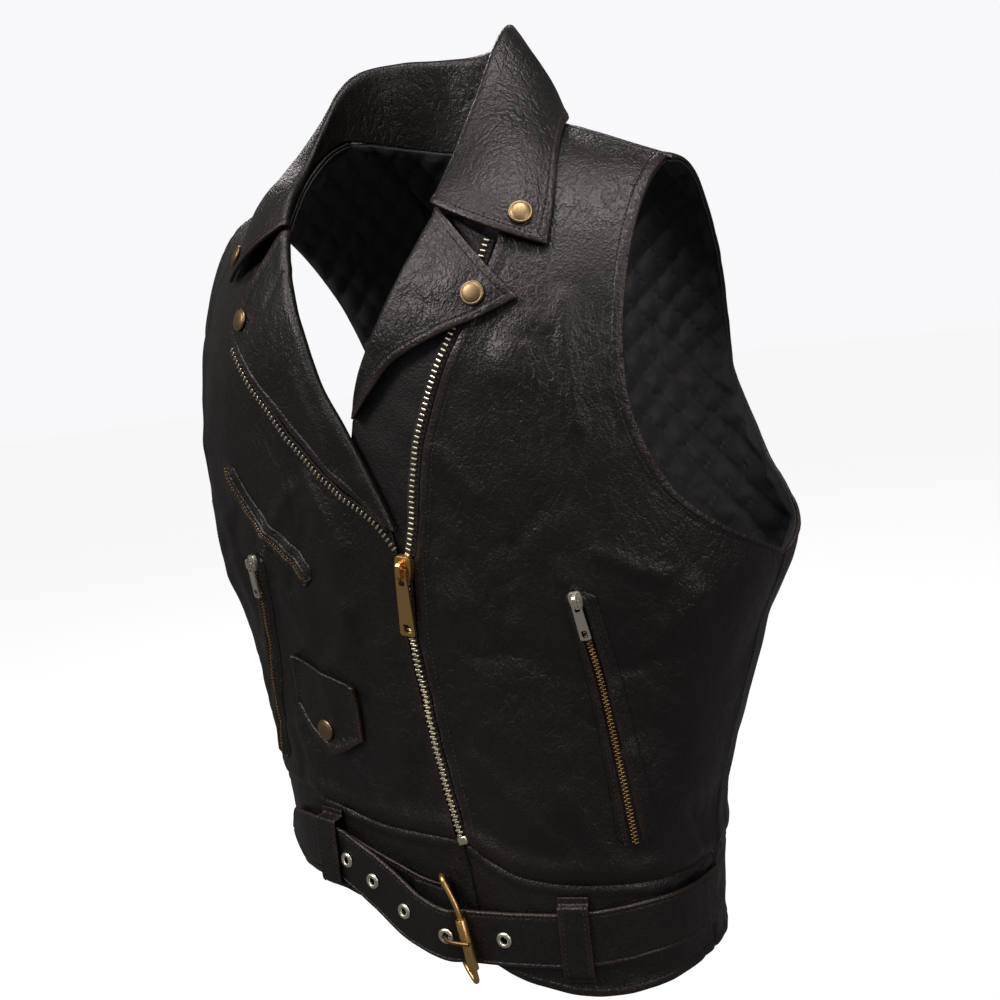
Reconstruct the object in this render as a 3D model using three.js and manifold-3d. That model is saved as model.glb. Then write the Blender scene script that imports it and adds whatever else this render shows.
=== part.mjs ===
import * as THREE from 'three'
import { mergeVertices } from 'three/addons/utils/BufferGeometryUtils.js'
import Module from 'manifold-3d'

// Sleeveless leather vest in its worn form. Millimetres, X to the wearer's left, front towards -Y, Z up.
// The origin is the middle of the line between the two points where shoulder meets neck.

// Outer face of the leather shell as level sections.
const SECTIONS = [
  // height, half width left, half width right, front depth, back depth, side seam y
  [-575, 160, 158, 110, 84, -14],
  [-510, 162, 160, 110, 84, -12],
  [-455, 168, 166, 110, 86, -8],
  [-400, 182, 178, 110, 94, 0],
  [-340, 201, 192, 111, 104, 6],
  [-290, 222, 210, 115, 112, 10],
  [-230, 222, 214, 120, 118, 14],
  [-180, 218, 214, 122, 118, 16],
  [-120, 214, 212, 120, 114, 16],
  [-60, 212, 212, 112, 106, 14],
  [0, 212, 212, 100, 96, 12],
  [60, 212, 212, 100, 96, 12]
]
const SQUARENESS = 2.5
const NECK_HALF = 67
const SHOULDER_SLOPE = Math.tan((23 * Math.PI) / 180)
const SHOULDER_SOFT = 40
const SHOULDER_ROUND = 150
const RIDGE_Y = 8

// Largest soft folds of the fronts: from x, z to x, z, half width and height.
const FOLDS = [
  { from: [-42, -235], to: [-32, -300], wide: 14, high: 2.4 },
  { from: [-168, -200], to: [-160, -290], wide: 15, high: 3 },
  { from: [62, -300], to: [84, -440], wide: 16, high: 2.6 },
  { from: [112, -150], to: [132, -245], wide: 16, high: 2 },
  { from: [184, -320], to: [166, -430], wide: 14, high: 2.4 }
]

// Heights that change round the body: angle (0 front, 90 wearer's left, 180 back), height.
const BAND_TOP = [
  [-180, -470], [-150, -462], [-120, -453], [-90, -447], [-61, -443], [-30, -442], [-16, -449],
  [-6, -455], [9, -458], [13, -467], [21, -477], [33, -482], [51, -484], [83, -488], [120, -484],
  [150, -478], [180, -470]
]
const HEM = [
  [-180, -537], [-150, -528], [-120, -519], [-90, -512], [-61, -508], [-33, -505], [-19, -510],
  [-6, -520], [6, -531], [10, -537], [20, -549], [31, -554], [43, -557], [61, -556], [90, -555],
  [120, -552], [150, -545], [180, -537]
]
const UNDERARM = -292

// Armhole edges of each half: angle away from front or back centre, height.
const ARMHOLE_FRONT = [
  [90, -292], [87.5, -286], [80.5, -278], [73.7, -270.5], [67.3, -262], [61.9, -253],
  [56.3, -239], [53.1, -226], [50.2, -207.5], [48.3, -180], [48, -155], [48.2, -140], [49, -107],
  [50, -73], [51, -43]
]
const ARMHOLE_BACK = [
  [90, -292], [84, -287], [75, -279], [66.5, -268], [59.8, -258], [52, -240], [48.3, -225],
  [45.6, -211], [43.3, -195], [42.4, -185], [42.4, -165], [44, -145], [45.5, -126], [47.5, -100],
  [50, -70], [52, -43]
]

// Lines on the fronts: x, height.
const ZIP_CLOSED = [[36, -452], [30, -424], [25, -395], [22, -361], [20, -321], [24, -288], [26, -268]]
const ZIP_LEFT = [
  [29, -266], [36, -242], [42, -217], [49, -193], [59, -169], [69, -149], [80, -129], [91, -100],
  [95, -80], [93, -64]
]
const ZIP_RIGHT = [
  [21, -262], [14, -251], [6, -242], [-11, -229], [-28, -215], [-43, -200], [-55, -188], [-67, -173],
  [-80, -159], [-92, -144], [-102, -131]
]
const ROLL_LEFT = [[2, -177], [7, -163], [18, -142], [32, -119], [48, -89], [57, -70], [61, -58]]
const ROLL_RIGHT = [
  [22, -250], [16, -232], [7, -208], [-3, -186], [-17, -159], [-28, -127], [-40, -99], [-50, -75],
  [-57, -59]
]
const LAPEL_LEFT_EDGE = [[6, -178], [23, -161], [43, -144], [75, -131], [95, -125], [117, -116]]
const LAPEL_RIGHT_EDGE = [
  [14, -243], [-7, -224], [-24, -210], [-39, -195], [-51, -183], [-63, -169], [-77, -155], [-89, -140],
  [-99, -129], [-108, -119]
]
const UNDERLAP_EDGE = [[6, -452], [0, -400], [-4, -330], [-8, -262], [-8, -215], [-1, -184]]
const NECK_LEFT = [[100.5, -74], [91, -64], [78, -57], [69, -49], [65, -38], [65.5, -20], [67, -2]]
const NECK_RIGHT = [[62.5, -50], [64.5, -35], [65.8, -15], [67, -2]]
// Back neckline: half x, height.
const NECK_BACK = [[0, -16], [15, -15], [30, -12.5], [40, -10], [50, -7], [60, -3.5], [67, -0.5]]

const LEATHER = 1.5
const LINING_OUT = -1.95
const LINING_IN = -3.3
const QUILT_RISE = 1.2
const FACING_OUT = -2.25
const FACING_IN = -3.6
const BAND_OUT = { left: 0, right: -0.9, back: 0 }
const BAND_IN = -3.4
const SEAM_GAP = 0.35
const SIDE_SEAM = 0.03
const LINING_SEAM = 0.06
const FRONT_TOP = 0.8
const BACK_TOP = -0.77

const MATERIALS = {
  leather: { color: 0x1b1614, roughness: 0.42, metalness: 0 },
  facing: { color: 0x141110, roughness: 0.5, metalness: 0 },
  lining: { color: 0x0b0b0c, roughness: 0.7, metalness: 0 },
  tape: { color: 0x0d0c0c, roughness: 0.85, metalness: 0 },
  paleBrass: { color: 0xb9ab7c, roughness: 0.35, metalness: 0.9 },
  brass: { color: 0xa8742c, roughness: 0.35, metalness: 0.95 },
  darkBrass: { color: 0x6b5227, roughness: 0.45, metalness: 0.9 },
  silver: { color: 0xa9a69c, roughness: 0.3, metalness: 0.95 }
}

const FULL_TURN = 360
const rad = (degrees) => (degrees * Math.PI) / 180
const clamp = (value, low, high) => Math.min(high, Math.max(low, value))
const lerp = (a, b, t) => a + (b - a) * t
const smooth = (t) => clamp(t, 0, 1) ** 2 * (3 - 2 * clamp(t, 0, 1))
const vec = (p) => new THREE.Vector3(p[0], p[1], p[2])

// Smooth curve through four values, t running from the second to the third.
function through(a, b, c, d, t) {
  const bend = (2 * a - 5 * b + 4 * c - d) * t * t
  const twist = (3 * b - a - 3 * c + d) * t * t * t
  return 0.5 * (2 * b + (c - a) * t + bend + twist)
}

// Row of a table at a value of its first column, which rises down the table.
function lookUp(rows, value) {
  const last = rows.length - 1
  let i = 0
  while (i < last - 1 && rows[i + 1][0] < value) i += 1
  const t = clamp((value - rows[i][0]) / (rows[i + 1][0] - rows[i][0]), 0, 1)
  const before = rows[Math.max(i - 1, 0)]
  const after = rows[Math.min(i + 2, last)]
  return rows[i].map((entry, k) => through(before[k], entry, rows[i + 1][k], after[k], t))
}

// Point at a share of the length of a line of points with any number of coordinates.
function along(points, share) {
  const lengths = [0]
  for (let i = 1; i < points.length; i += 1) {
    const step = Math.hypot(...points[i].map((value, k) => value - points[i - 1][k]))
    lengths.push(lengths[i - 1] + step)
  }
  const total = lengths[lengths.length - 1]
  return lookUp(points.map((point, i) => [lengths[i] / total, ...point]), share).slice(1)
}

// Line of x, height points moved sideways, positive towards larger x on a rising line.
function moved(line, distance) {
  return line.map((point, i) => {
    const a = line[Math.max(i - 1, 0)]
    const b = line[Math.min(i + 1, line.length - 1)]
    const length = Math.hypot(b[0] - a[0], b[1] - a[1])
    return [point[0] + (distance * (b[1] - a[1])) / length, point[1] - (distance * (b[0] - a[0])) / length]
  })
}

// x of a rising line at a height.
const xOn = (line, z) => lookUp(line.map(([x, height]) => [height, x]), z)[1]

// Half width of the form on one side at a height, with the shape of its sections.
function sideWidth(z, side) {
  const row = lookUp(SECTIONS, z)
  return side >= 0 ? row[1] : row[2]
}

function xAt(angle, z) {
  const s = Math.sin(rad(angle))
  return sideWidth(z, s) * Math.sign(s) * Math.abs(s) ** (2 / SQUARENESS)
}

// Angle round the body of a point at x and height, on the front or the back.
function angleAt(x, z, back = false) {
  const share = clamp(Math.abs(x) / sideWidth(z, x), 0, 1)
  const angle = (Math.asin(share ** (SQUARENESS / 2)) * 180) / Math.PI
  return (back ? 180 - angle : angle) * Math.sign(x || 1)
}

// Height of the shoulder ridge over x.
function ridge(x) {
  const rise = Math.hypot(x, SHOULDER_SOFT) - Math.hypot(NECK_HALF, SHOULDER_SOFT)
  return -SHOULDER_SLOPE * rise
}

// Point of the form at an angle. down is the square root of the depth below the ridge;
// a negative one has passed over the ridge to the other side.
function formPoint(angle, down) {
  const turned = down < 0 ? 180 - angle : angle
  const drop = down * down
  let z = UNDERARM
  for (let i = 0; i < 5; i += 1) z = ridge(xAt(turned, z)) - drop
  const [, , , front, back, seam] = lookUp(SECTIONS, z)
  const s = Math.sin(rad(turned))
  const c = Math.cos(rad(turned))
  const squared = Math.abs(c) ** (2 / SQUARENESS)
  const flat = (c >= 0 ? -front : back) * squared + seam * Math.abs(s) ** (4 / SQUARENESS)
  const arch = Math.sqrt(1 - (1 - clamp(drop / SHOULDER_ROUND, 0, 1)) ** 2)
  return [xAt(turned, z), RIDGE_Y + (flat - RIDGE_Y) * arch, z]
}

// Height of the soft folds at x and height on the fronts.
function foldHeight(x, z) {
  return FOLDS.reduce((sum, { from, to, wide, high }) => {
    const run = [to[0] - from[0], to[1] - from[1]]
    const length = Math.hypot(...run)
    const ahead = ((x - from[0]) * run[0] + (z - from[1]) * run[1]) / length
    const aside = ((x - from[0]) * run[1] - (z - from[1]) * run[0]) / length
    const past = Math.max(0, -ahead, ahead - length)
    return sum + high * Math.exp(-(past * past + aside * aside) / (wide * wide))
  }, 0)
}

const TURN_STEP = 1.2
const DOWN_STEP = 0.25

function formNormal(angle, down) {
  const a = vec(formPoint(angle + TURN_STEP, down)).sub(vec(formPoint(angle - TURN_STEP, down)))
  const b = vec(formPoint(angle, down + DOWN_STEP)).sub(vec(formPoint(angle, down - DOWN_STEP)))
  return b.cross(a).normalize()
}

// Point at a lift over the form.
function lifted(angle, down, lift) {
  const point = formPoint(angle, down)
  const onFront = Math.cos(rad(angle)) > 0 && down > 0
  const height = lift + (onFront ? foldHeight(point[0], point[2]) : 0)
  return vec(point).addScaledVector(formNormal(angle, down), height)
}

function downAt(angle, z) {
  return Math.sqrt(Math.max(ridge(xAt(angle, z)) - z, 0))
}

const onAngle = (angle, z, lift) => lifted(angle, downAt(angle, z), lift)
const onFront = (x, z, lift) => onAngle(angleAt(x, z), z, lift)

// Closed body from points and faces, turned so that its faces look outward.
function body(name, look, points, faces) {
  const volume = faces.reduce((sum, [a, b, c]) => {
    return sum + points[a].dot(new THREE.Vector3().crossVectors(points[b], points[c]))
  }, 0)
  const index = faces.flatMap(([a, b, c]) => (volume > 0 ? [a, b, c] : [a, c, b]))
  const geometry = new THREE.BufferGeometry()
  geometry.setAttribute('position', new THREE.Float32BufferAttribute(points.flatMap((p) => p.toArray()), 3))
  geometry.setIndex(index)
  return meshOf(name, look, geometry)
}

function meshOf(name, look, geometry) {
  geometry.computeVertexNormals()
  const mesh = new THREE.Mesh(geometry, new THREE.MeshStandardMaterial(MATERIALS[look]))
  mesh.name = name
  return mesh
}

// Closed wall between an outer and an inner grid of the same size.
function wallFaces(rows, columns) {
  const size = rows * columns
  const faces = []
  const quad = (a, b, c, d) => faces.push([a, b, c], [a, c, d])
  const at = (i, j, layer) => layer * size + i * columns + j
  for (let i = 0; i < rows - 1; i += 1) {
    for (let j = 0; j < columns - 1; j += 1) {
      quad(at(i, j, 0), at(i, j + 1, 0), at(i + 1, j + 1, 0), at(i + 1, j, 0))
      quad(at(i, j, 1), at(i + 1, j, 1), at(i + 1, j + 1, 1), at(i, j + 1, 1))
    }
  }
  for (let i = 0; i < rows - 1; i += 1) {
    quad(at(i, 0, 0), at(i + 1, 0, 0), at(i + 1, 0, 1), at(i, 0, 1))
    quad(at(i + 1, columns - 1, 0), at(i, columns - 1, 0), at(i, columns - 1, 1), at(i + 1, columns - 1, 1))
  }
  for (let j = 0; j < columns - 1; j += 1) {
    quad(at(0, j + 1, 0), at(0, j, 0), at(0, j, 1), at(0, j + 1, 1))
    quad(at(rows - 1, j, 0), at(rows - 1, j + 1, 0), at(rows - 1, j + 1, 1), at(rows - 1, j, 1))
  }
  return faces
}

function wall(name, look, outer, inner) {
  return body(name, look, [...outer.flat(), ...inner.flat()], wallFaces(outer.length, outer[0].length))
}

const grid = (rows, columns, make) =>
  Array.from({ length: rows }, (_, i) => Array.from({ length: columns }, (__, j) => make(i, j)))

const LOW_ROWS = 7
const HIGH_ROWS = 14
const ROW_CROWD = 1.45
const SOLVE_STEPS = 9

const turned = (angle) => (angle > 180 ? angle - FULL_TURN : angle)
const bandTop = (angle) => lookUp(BAND_TOP, turned(angle))[1]
const hem = (angle) => lookUp(HEM, turned(angle))[1]

// Where each column of a shell ends: at the front shoulder seam.
const frontEnd = () => FRONT_TOP

// The back runs over the ridge to the shoulder seam, and ends at the neckline between the shoulders.
function backEnd(angle) {
  const x = Math.abs(formPoint(angle, 0)[0])
  if (x >= NECK_HALF) return BACK_TOP
  return Math.sqrt(ridge(x) - lookUp(NECK_BACK, x)[1])
}

// Depth below the ridge of row i at an angle: first rows up to the underarm, then up to the end.
function rowDown(angle, i, end) {
  if (i <= LOW_ROWS) {
    return downAt(angle, lerp(bandTop(angle) + SEAM_GAP, UNDERARM, i / LOW_ROWS))
  }
  const share = ((i - LOW_ROWS) / HIGH_ROWS) ** ROW_CROWD
  return lerp(downAt(angle, UNDERARM), end(angle), share)
}

// Angle at which row i meets an edge given as an angle for each height.
function edgeAngle(edge, i, end) {
  let angle = edge(UNDERARM)
  for (let step = 0; step < SOLVE_STEPS; step += 1) {
    const down = rowDown(angle, i, end)
    angle = edge(formPoint(angle, down)[2])
  }
  return angle
}

// Angles and depths of a shell's grid between two edges.
function shellGrid(edgeA, edgeB, columns, end) {
  return Array.from({ length: LOW_ROWS + HIGH_ROWS + 1 }, (_, i) => {
    const a = edgeAngle(edgeA, i, end)
    const b = edgeAngle(edgeB, i, end)
    return Array.from({ length: columns + 1 }, (__, j) => {
      const angle = lerp(a, b, j / columns)
      return { angle, down: rowDown(angle, i, end) }
    })
  })
}

const shellLayer = (cells, liftOf) =>
  cells.map((row, i) => row.map(({ angle, down }, j) => lifted(angle, down, liftOf(i, j))))

function shell(name, look, cells, out, into) {
  return wall(name, look, shellLayer(cells, () => out), shellLayer(cells, () => into))
}

// Quilted wall: plain towards the leather, raised in a diamond pattern towards the wearer.
function quilted(name, cells) {
  const raised = (i, j) => LINING_IN - (i + j) % 2 * QUILT_RISE
  return wall(name, 'lining', shellLayer(cells, () => LINING_OUT), shellLayer(cells, raised))
}

const armholeTable = (rows) => rows.map(([angle, z]) => [z, angle])
const ARM_FRONT = armholeTable(ARMHOLE_FRONT)
const ARM_BACK = armholeTable(ARMHOLE_BACK)
const armFront = (z, inset) => (z <= UNDERARM ? 90 - inset : Math.min(90 - inset, lookUp(ARM_FRONT, z)[1]))
const armBack = (z, inset) => (z <= UNDERARM ? 90 - inset : Math.min(90 - inset, lookUp(ARM_BACK, z)[1]))

const ZIP_REACH = 4.6
const ROLL_ROOM = 4.6
const leftLine = [...moved(ZIP_CLOSED, ZIP_REACH), ...moved(ZIP_LEFT, ZIP_REACH).slice(0, -2), ...NECK_LEFT]
const neckRight = NECK_RIGHT.map(([x, z]) => [-x, z])
const rightLine = [
  ...moved(ZIP_CLOSED, -ZIP_REACH).slice(0, -1), ...moved(ROLL_RIGHT, -ROLL_ROOM), ...neckRight
]
const FRONT_COLUMNS = 8
const BACK_COLUMNS = 17
const FACING_COLUMNS = 3

const leftCells = shellGrid(
  (z) => angleAt(xOn(leftLine, z), z),
  (z) => armFront(z, SIDE_SEAM),
  FRONT_COLUMNS,
  frontEnd
)
const rightCells = shellGrid(
  (z) => angleAt(xOn(rightLine, z), z),
  (z) => -armFront(z, SIDE_SEAM),
  FRONT_COLUMNS,
  frontEnd
)
const backCells = shellGrid(
  (z) => 180 - armBack(z, SIDE_SEAM),
  (z) => 180 + armBack(z, SIDE_SEAM),
  BACK_COLUMNS,
  backEnd
)

// Facing inside the right front's turned-back edge: its lowest height and the room left by the lining.
const FACING_LOW = -188
const FACING_GAP = 0.04
const facingCells = rightCells
  .filter((row) => lifted(row[0].angle, row[0].down, 0).z > FACING_LOW)
  .map((row) => row.slice(0, FACING_COLUMNS + 1).map((cell, j) => (
    j < FACING_COLUMNS ? cell : { angle: lerp(cell.angle, row[j - 1].angle, FACING_GAP), down: cell.down }
  )))

const UNDERLAP_ROWS = 18
const UNDERLAP_COLUMNS = 3
const LEFT_ROLL_ROOM = 4.2

// Wall between two rising lines of x and height on the fronts.
function patch(name, look, lineA, lineB, rows, columns, out, into) {
  const layer = (lift) => grid(rows + 1, columns + 1, (i, j) => {
    const a = along(lineA, i / rows)
    const b = along(lineB, i / rows)
    return onFront(lerp(a[0], b[0], j / columns), lerp(a[1], b[1], j / columns), lift)
  })
  return wall(name, look, layer(out), layer(into))
}

// Lapel: half a turn round the roll line, then a leaf that comes to rest on the front.
const LAPEL = { half: 0.9, rows: 15, turns: 4, leaf: 6 }

function lapel(name, roll, edge, { low, turn, rest }) {
  const { half, rows, turns, leaf } = LAPEL
  const layer = (side) => grid(rows + 1, turns + leaf + 1, (i, j) => {
    const share = i / rows
    const start = along(roll, share)
    const end = along(edge, share)
    const width = Math.hypot(end[0] - start[0], end[1] - start[1])
    const way = [(end[0] - start[0]) / width, (end[1] - start[1]) / width]
    const radius = turn(share)
    const phi = rad((180 * Math.min(j, turns)) / turns)
    const flat = Math.max(j - turns, 0) / leaf
    const reach = lerp(radius, width, flat) - (j <= turns ? (radius + side * half) * Math.sin(phi) : 0)
    const x = start[0] + way[0] * reach
    const z = start[1] + way[1] * reach
    const turnedLift = low + radius - (radius + side * half) * Math.cos(phi)
    const restLift = lerp(low + 2 * radius, rest(x, z), smooth(flat)) + side * half
    return onFront(x, z, j <= turns ? turnedLift : restLift)
  })
  return wall(name, 'leather', layer(1), layer(-1))
}

const LEFT_LAPEL = {
  low: -3,
  turn: (share) => lerp(1.7, 3.7, smooth(share / 0.3)),
  rest: (x) => lerp(4.2, 1.8, smooth((x - 98) / 15))
}
const RIGHT_LAPEL = {
  low: -0.75,
  turn: (share) => lerp(2.2, 3, smooth(share / 0.2)),
  rest: (x) => lerp(3.2, 1.8, smooth((-x - 92) / 12))
}

// Collar from one front tip round the back of the neck to the other.
const COLLAR = [
  // base x, base z, base on the back, fold x, fold y, fold z, edge x, edge y, edge z
  [-61, -59, 0, -57, -93.5, -55, -119, -80, -88],
  [-66.5, -42, 0, -62, -77, -36.5, -116, -62, -68],
  [-68.5, -25, 0, -67, -52, -17, -110, -40, -44],
  [-69.5, -11, 0, -70, -27, 8, -105, -13, -20],
  [-69.5, -1.5, 0, -70, -2, 34, -99, 12, -8],
  [-60, -5.5, 1, -64, 20, 47, -87, 36, -3],
  [-44, -11, 1, -48, 43, 51, -65, 62, -5],
  [-24, -15, 1, -26, 62, 50, -36, 79, -9],
  [0, -17.5, 1, 0, 69, 49, 0, 87, -11],
  [24, -15, 1, 26, 62, 51, 36, 79, -9],
  [44, -11, 1, 47, 42, 55, 66, 62, -5],
  [60, -5.5, 1, 58, 18, 56, 88, 36, -3],
  [69.5, -1.5, 0, 63, -4, 42, 100, 12, -8],
  [69.5, -11, 0, 64, -27, 16, 109, -12, -19],
  [68.5, -25, 0, 64, -52, -11, 119, -40, -44],
  [66.5, -42, 0, 63, -74, -35, 127, -62, -66],
  [65, -58, 0, 61, -92, -55, 131, -82, -86]
]
const COLLAR_WALL = { half: 1.1, turn: 1.8, turns: 4, stand: 3, fall: 5, rows: 28, bulge: 3.5, off: 2 }

// Share of the way from the inside of the form out to its face: over 1 is outside.
function outness(p) {
  const [, left, right, front, back, seam] = lookUp(SECTIONS, p.z)
  const across = clamp(Math.abs(p.x) / (p.x >= 0 ? left : right), 0, 0.999)
  const squared = (1 - across ** SQUARENESS) ** (1 / SQUARENESS)
  const flat = (p.y < RIDGE_Y ? -front : back) * squared + seam * across * across
  const high = Math.max(1 - (ridge(p.x) - p.z) / SHOULDER_ROUND, 0)
  return Math.hypot((p.y - RIDGE_Y) / (flat - RIDGE_Y), high)
}

// Moves a point along the form's slope to a distance over it; a point further off may stay.
function setOff(point, distance, mayStay) {
  const step = 0.5
  const p = point.clone()
  for (let i = 0; i < SOLVE_STEPS; i += 1) {
    const slope = new THREE.Vector3(...['x', 'y', 'z'].map((axis) => {
      const a = p.clone()
      const b = p.clone()
      a[axis] -= step
      b[axis] += step
      return (outness(b) - outness(a)) / (2 * step)
    }))
    const over = (outness(p) - 1) / slope.length()
    if (mayStay && over >= distance) return p
    p.addScaledVector(slope.normalize(), distance - over)
  }
  return p
}

const collarLines = COLLAR.map(([x, z, onBack, ...rest], i) => {
  const angle = angleAt(x, z, onBack === 1)
  const base = onAngle(angle, z, COLLAR_WALL.off - 0.2)
  const edge = setOff(new THREE.Vector3(...rest.slice(3)), COLLAR_WALL.off + 0.2, false)
  return [i, ...base.toArray(), ...rest.slice(0, 3), ...edge.toArray()]
})

// Middle line of the collar's wall across one row: up the stand, round the fold and down the fall.
function collarSection(place) {
  const row = lookUp(collarLines, place).slice(1)
  const base = vec(row)
  const fold = vec(row.slice(3))
  const edge = vec(row.slice(6))
  const { turn, turns, stand, fall, bulge, off } = COLLAR_WALL
  const toBase = base.clone().sub(fold).normalize()
  const toEdge = edge.clone().sub(fold).normalize()
  const opening = toBase.angleTo(toEdge)
  const inward = toBase.clone().add(toEdge).normalize()
  const outward = toEdge.clone().addScaledVector(inward, -toEdge.dot(inward)).normalize()
  const centre = fold.clone().addScaledVector(inward, turn)
  const half = opening / 2
  const points = []
  const normals = []
  const rim = (phi) => {
    const way = inward.clone().multiplyScalar(-Math.cos(phi)).addScaledVector(outward, Math.sin(phi))
    points.push(centre.clone().addScaledVector(way, turn))
    normals.push(way)
  }
  const reach = Math.PI / 2 - half
  const standSide = inward.clone().multiplyScalar(-Math.sin(half)).addScaledVector(outward, -Math.cos(half))
  const fallSide = inward.clone().multiplyScalar(-Math.sin(half)).addScaledVector(outward, Math.cos(half))
  const standTop = centre.clone().addScaledVector(standSide, turn)
  const fallTop = centre.clone().addScaledVector(fallSide, turn)
  for (let i = 0; i < stand; i += 1) {
    points.push(base.clone().lerp(standTop, i / stand))
    normals.push(standSide)
  }
  for (let i = 0; i <= turns; i += 1) rim(lerp(-reach, reach, i / turns))
  for (let i = 1; i <= fall; i += 1) {
    const share = i / fall
    const p = fallTop.clone().lerp(edge, share)
    p.addScaledVector(fallSide, bulge * 4 * share * (1 - share))
    points.push(setOff(p, off, true))
    normals.push(fallSide)
  }
  return { points, normals }
}

function collar(name) {
  const { rows, half } = COLLAR_WALL
  const sections = Array.from({ length: rows + 1 }, (_, i) =>
    collarSection(((COLLAR.length - 1) * i) / rows))
  const layer = (side) => sections.map(({ points, normals }) =>
    points.map((p, j) => p.clone().addScaledVector(normals[j], side * half)))
  return wall(name, 'leather', layer(1), layer(-1))
}

// Waistband pieces between the hem and the seam under the shells.
const BAND_ROWS = 3
const BAND_DROP = 0.9
const BAND_SPLIT = [[45, -545], [41, -500], [36.5, -455]]
const SPLIT_HALF = 0.45

function waistband(name, edgeA, edgeB, columns, out) {
  const layer = (lift) => grid(BAND_ROWS + 1, columns + 1, (i, j) => {
    let angle = 0
    let z = UNDERARM
    for (let step = 0; step < SOLVE_STEPS; step += 1) {
      angle = lerp(edgeA(z), edgeB(z), j / columns)
      z = lerp(hem(angle), bandTop(angle) - BAND_DROP, i / BAND_ROWS)
    }
    return onAngle(angle, z, lift)
  })
  return wall(name, 'leather', layer(out), layer(BAND_IN))
}

const splitAt = (side) => (z) => {
  const x = xOn(BAND_SPLIT, clamp(z, BAND_SPLIT[0][1], BAND_SPLIT[2][1]))
  return angleAt(x + side * SPLIT_HALF, z)
}

// Points with normals at even steps of a line, from a table of x, height and lift.
const FINE_STEPS = 240

function lineOn(rows, steps, first = 0, last = 1) {
  const start = rows[0][0]
  const end = rows[rows.length - 1][0]
  const fine = Array.from({ length: FINE_STEPS + 1 }, (_, i) => {
    const [x, z, lift] = lookUp(rows, lerp(start, end, i / FINE_STEPS))
    const angle = angleAt(x, z)
    return [...onAngle(angle, z, lift).toArray(), ...formNormal(angle, downAt(angle, z)).toArray()]
  })
  return Array.from({ length: steps + 1 }, (_, i) => {
    const point = along(fine, lerp(first, last, i / steps))
    return { at: vec(point), normal: vec(point.slice(3)).normalize() }
  })
}

// Points with normals at even steps of a line of x, height points, all at one lift.
function pathOn(line, lift, steps, first = 0, last = 1) {
  return Array.from({ length: steps + 1 }, (_, i) => {
    const [x, z] = along(line, lerp(first, last, i / steps))
    const angle = angleAt(x, z)
    return { at: onAngle(angle, z, lift), normal: formNormal(angle, downAt(angle, z)) }
  })
}

// Flat strip along a path: across is its half width at each share, half its half thickness.
function ribbonGrids(path, widthAt, half, columns) {
  const frames = path.map(({ at, normal }, i) => {
    const ahead = path[Math.min(i + 1, path.length - 1)].at
    const behind = path[Math.max(i - 1, 0)].at
    const way = ahead.clone().sub(behind).normalize()
    const across = new THREE.Vector3().crossVectors(way, normal).normalize()
    return { at, across, up: new THREE.Vector3().crossVectors(across, way) }
  })
  const layer = (side) => frames.map(({ at, across, up }, i) =>
    Array.from({ length: columns + 1 }, (_, j) => {
      const width = widthAt(i / (path.length - 1)) * ((2 * j) / columns - 1)
      return at.clone().addScaledVector(across, width).addScaledVector(up, side * half)
    }))
  return [layer(1), layer(-1)]
}

function ribbon(name, look, path, width, half, columns = 1) {
  const [outer, inner] = ribbonGrids(path, () => width, half, columns)
  return wall(name, look, outer, inner)
}

// Belt tongue from the left side seam to its pointed end on the right: x, height, lift of its middle.
const TONGUE = [
  [-138, -483.5, 2.1], [-120, -479, 2.3], [-100, -476, 3.2], [-87, -476, 3.7], [-75, -478, 4],
  [-60, -483, 4.6], [-45, -489.5, 5.4], [-30, -498, 6.5], [-17, -506, 8], [-5, -512, 9.9],
  [8, -516, 11.2], [18, -518, 11.4], [24, -519, 10.9], [29, -519.3, 8.9], [34, -519.5, 6.4],
  [44, -520, 4.1],
  [60, -519.5, 2.7], [80, -518.5, 2.2], [101, -518, 2.1], [125, -516, 2.1], [145, -514, 2.1],
  [158, -515, 2.1], [163.5, -516.5, 2.1]
]
const TONGUE_SHAPE = { width: 18.5, half: 1.4, steps: 50, columns: 2, tip: 0.065, tipWidth: 0.12 }
const EYELET_X = [-62, -39, -12, 22.3, 61]
const HOLE_RADIUS = 2.9

const tonguePath = lineOn(TONGUE, TONGUE_SHAPE.steps)
const tongueWidth = (share) =>
  TONGUE_SHAPE.width * clamp(TONGUE_SHAPE.tipWidth + share / TONGUE_SHAPE.tip, 0, 1)

// Place of a path nearest to an x.
function placeAt(path, x) {
  const next = path.findIndex(({ at }) => at.x > x)
  const a = path[next - 1]
  const b = path[next]
  const share = (x - a.at.x) / (b.at.x - a.at.x)
  const way = b.at.clone().sub(a.at).normalize()
  const across = new THREE.Vector3().crossVectors(way, a.normal).normalize()
  return { at: a.at.clone().lerp(b.at, share), normal: across.cross(way) }
}

const solidTool = await Module()
solidTool.setup()

function toSolid(geometry) {
  const bare = geometry.clone()
  bare.deleteAttribute('normal')
  bare.deleteAttribute('uv')
  const merged = mergeVertices(bare, 1e-4)
  return new solidTool.Manifold(new solidTool.Mesh({
    numProp: 3,
    vertProperties: merged.getAttribute('position').array,
    triVerts: new Uint32Array(merged.index.array)
  }))
}

function fromSolid(name, look, solid) {
  const { vertProperties, triVerts } = solid.getMesh()
  const geometry = new THREE.BufferGeometry()
  geometry.setAttribute('position', new THREE.BufferAttribute(new Float32Array(vertProperties), 3))
  geometry.setIndex(new THREE.BufferAttribute(new Uint32Array(triVerts), 1))
  return meshOf(name, look, geometry)
}

// Turns a geometry made along Y so that Y follows a direction, and moves it to a point.
function stand(geometry, at, up) {
  const turn = new THREE.Quaternion().setFromUnitVectors(new THREE.Vector3(0, 1, 0), up)
  return geometry.applyQuaternion(turn).translate(at.x, at.y, at.z)
}

const CUT_SIDES = 12
const CUT_LENGTH = 12

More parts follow.
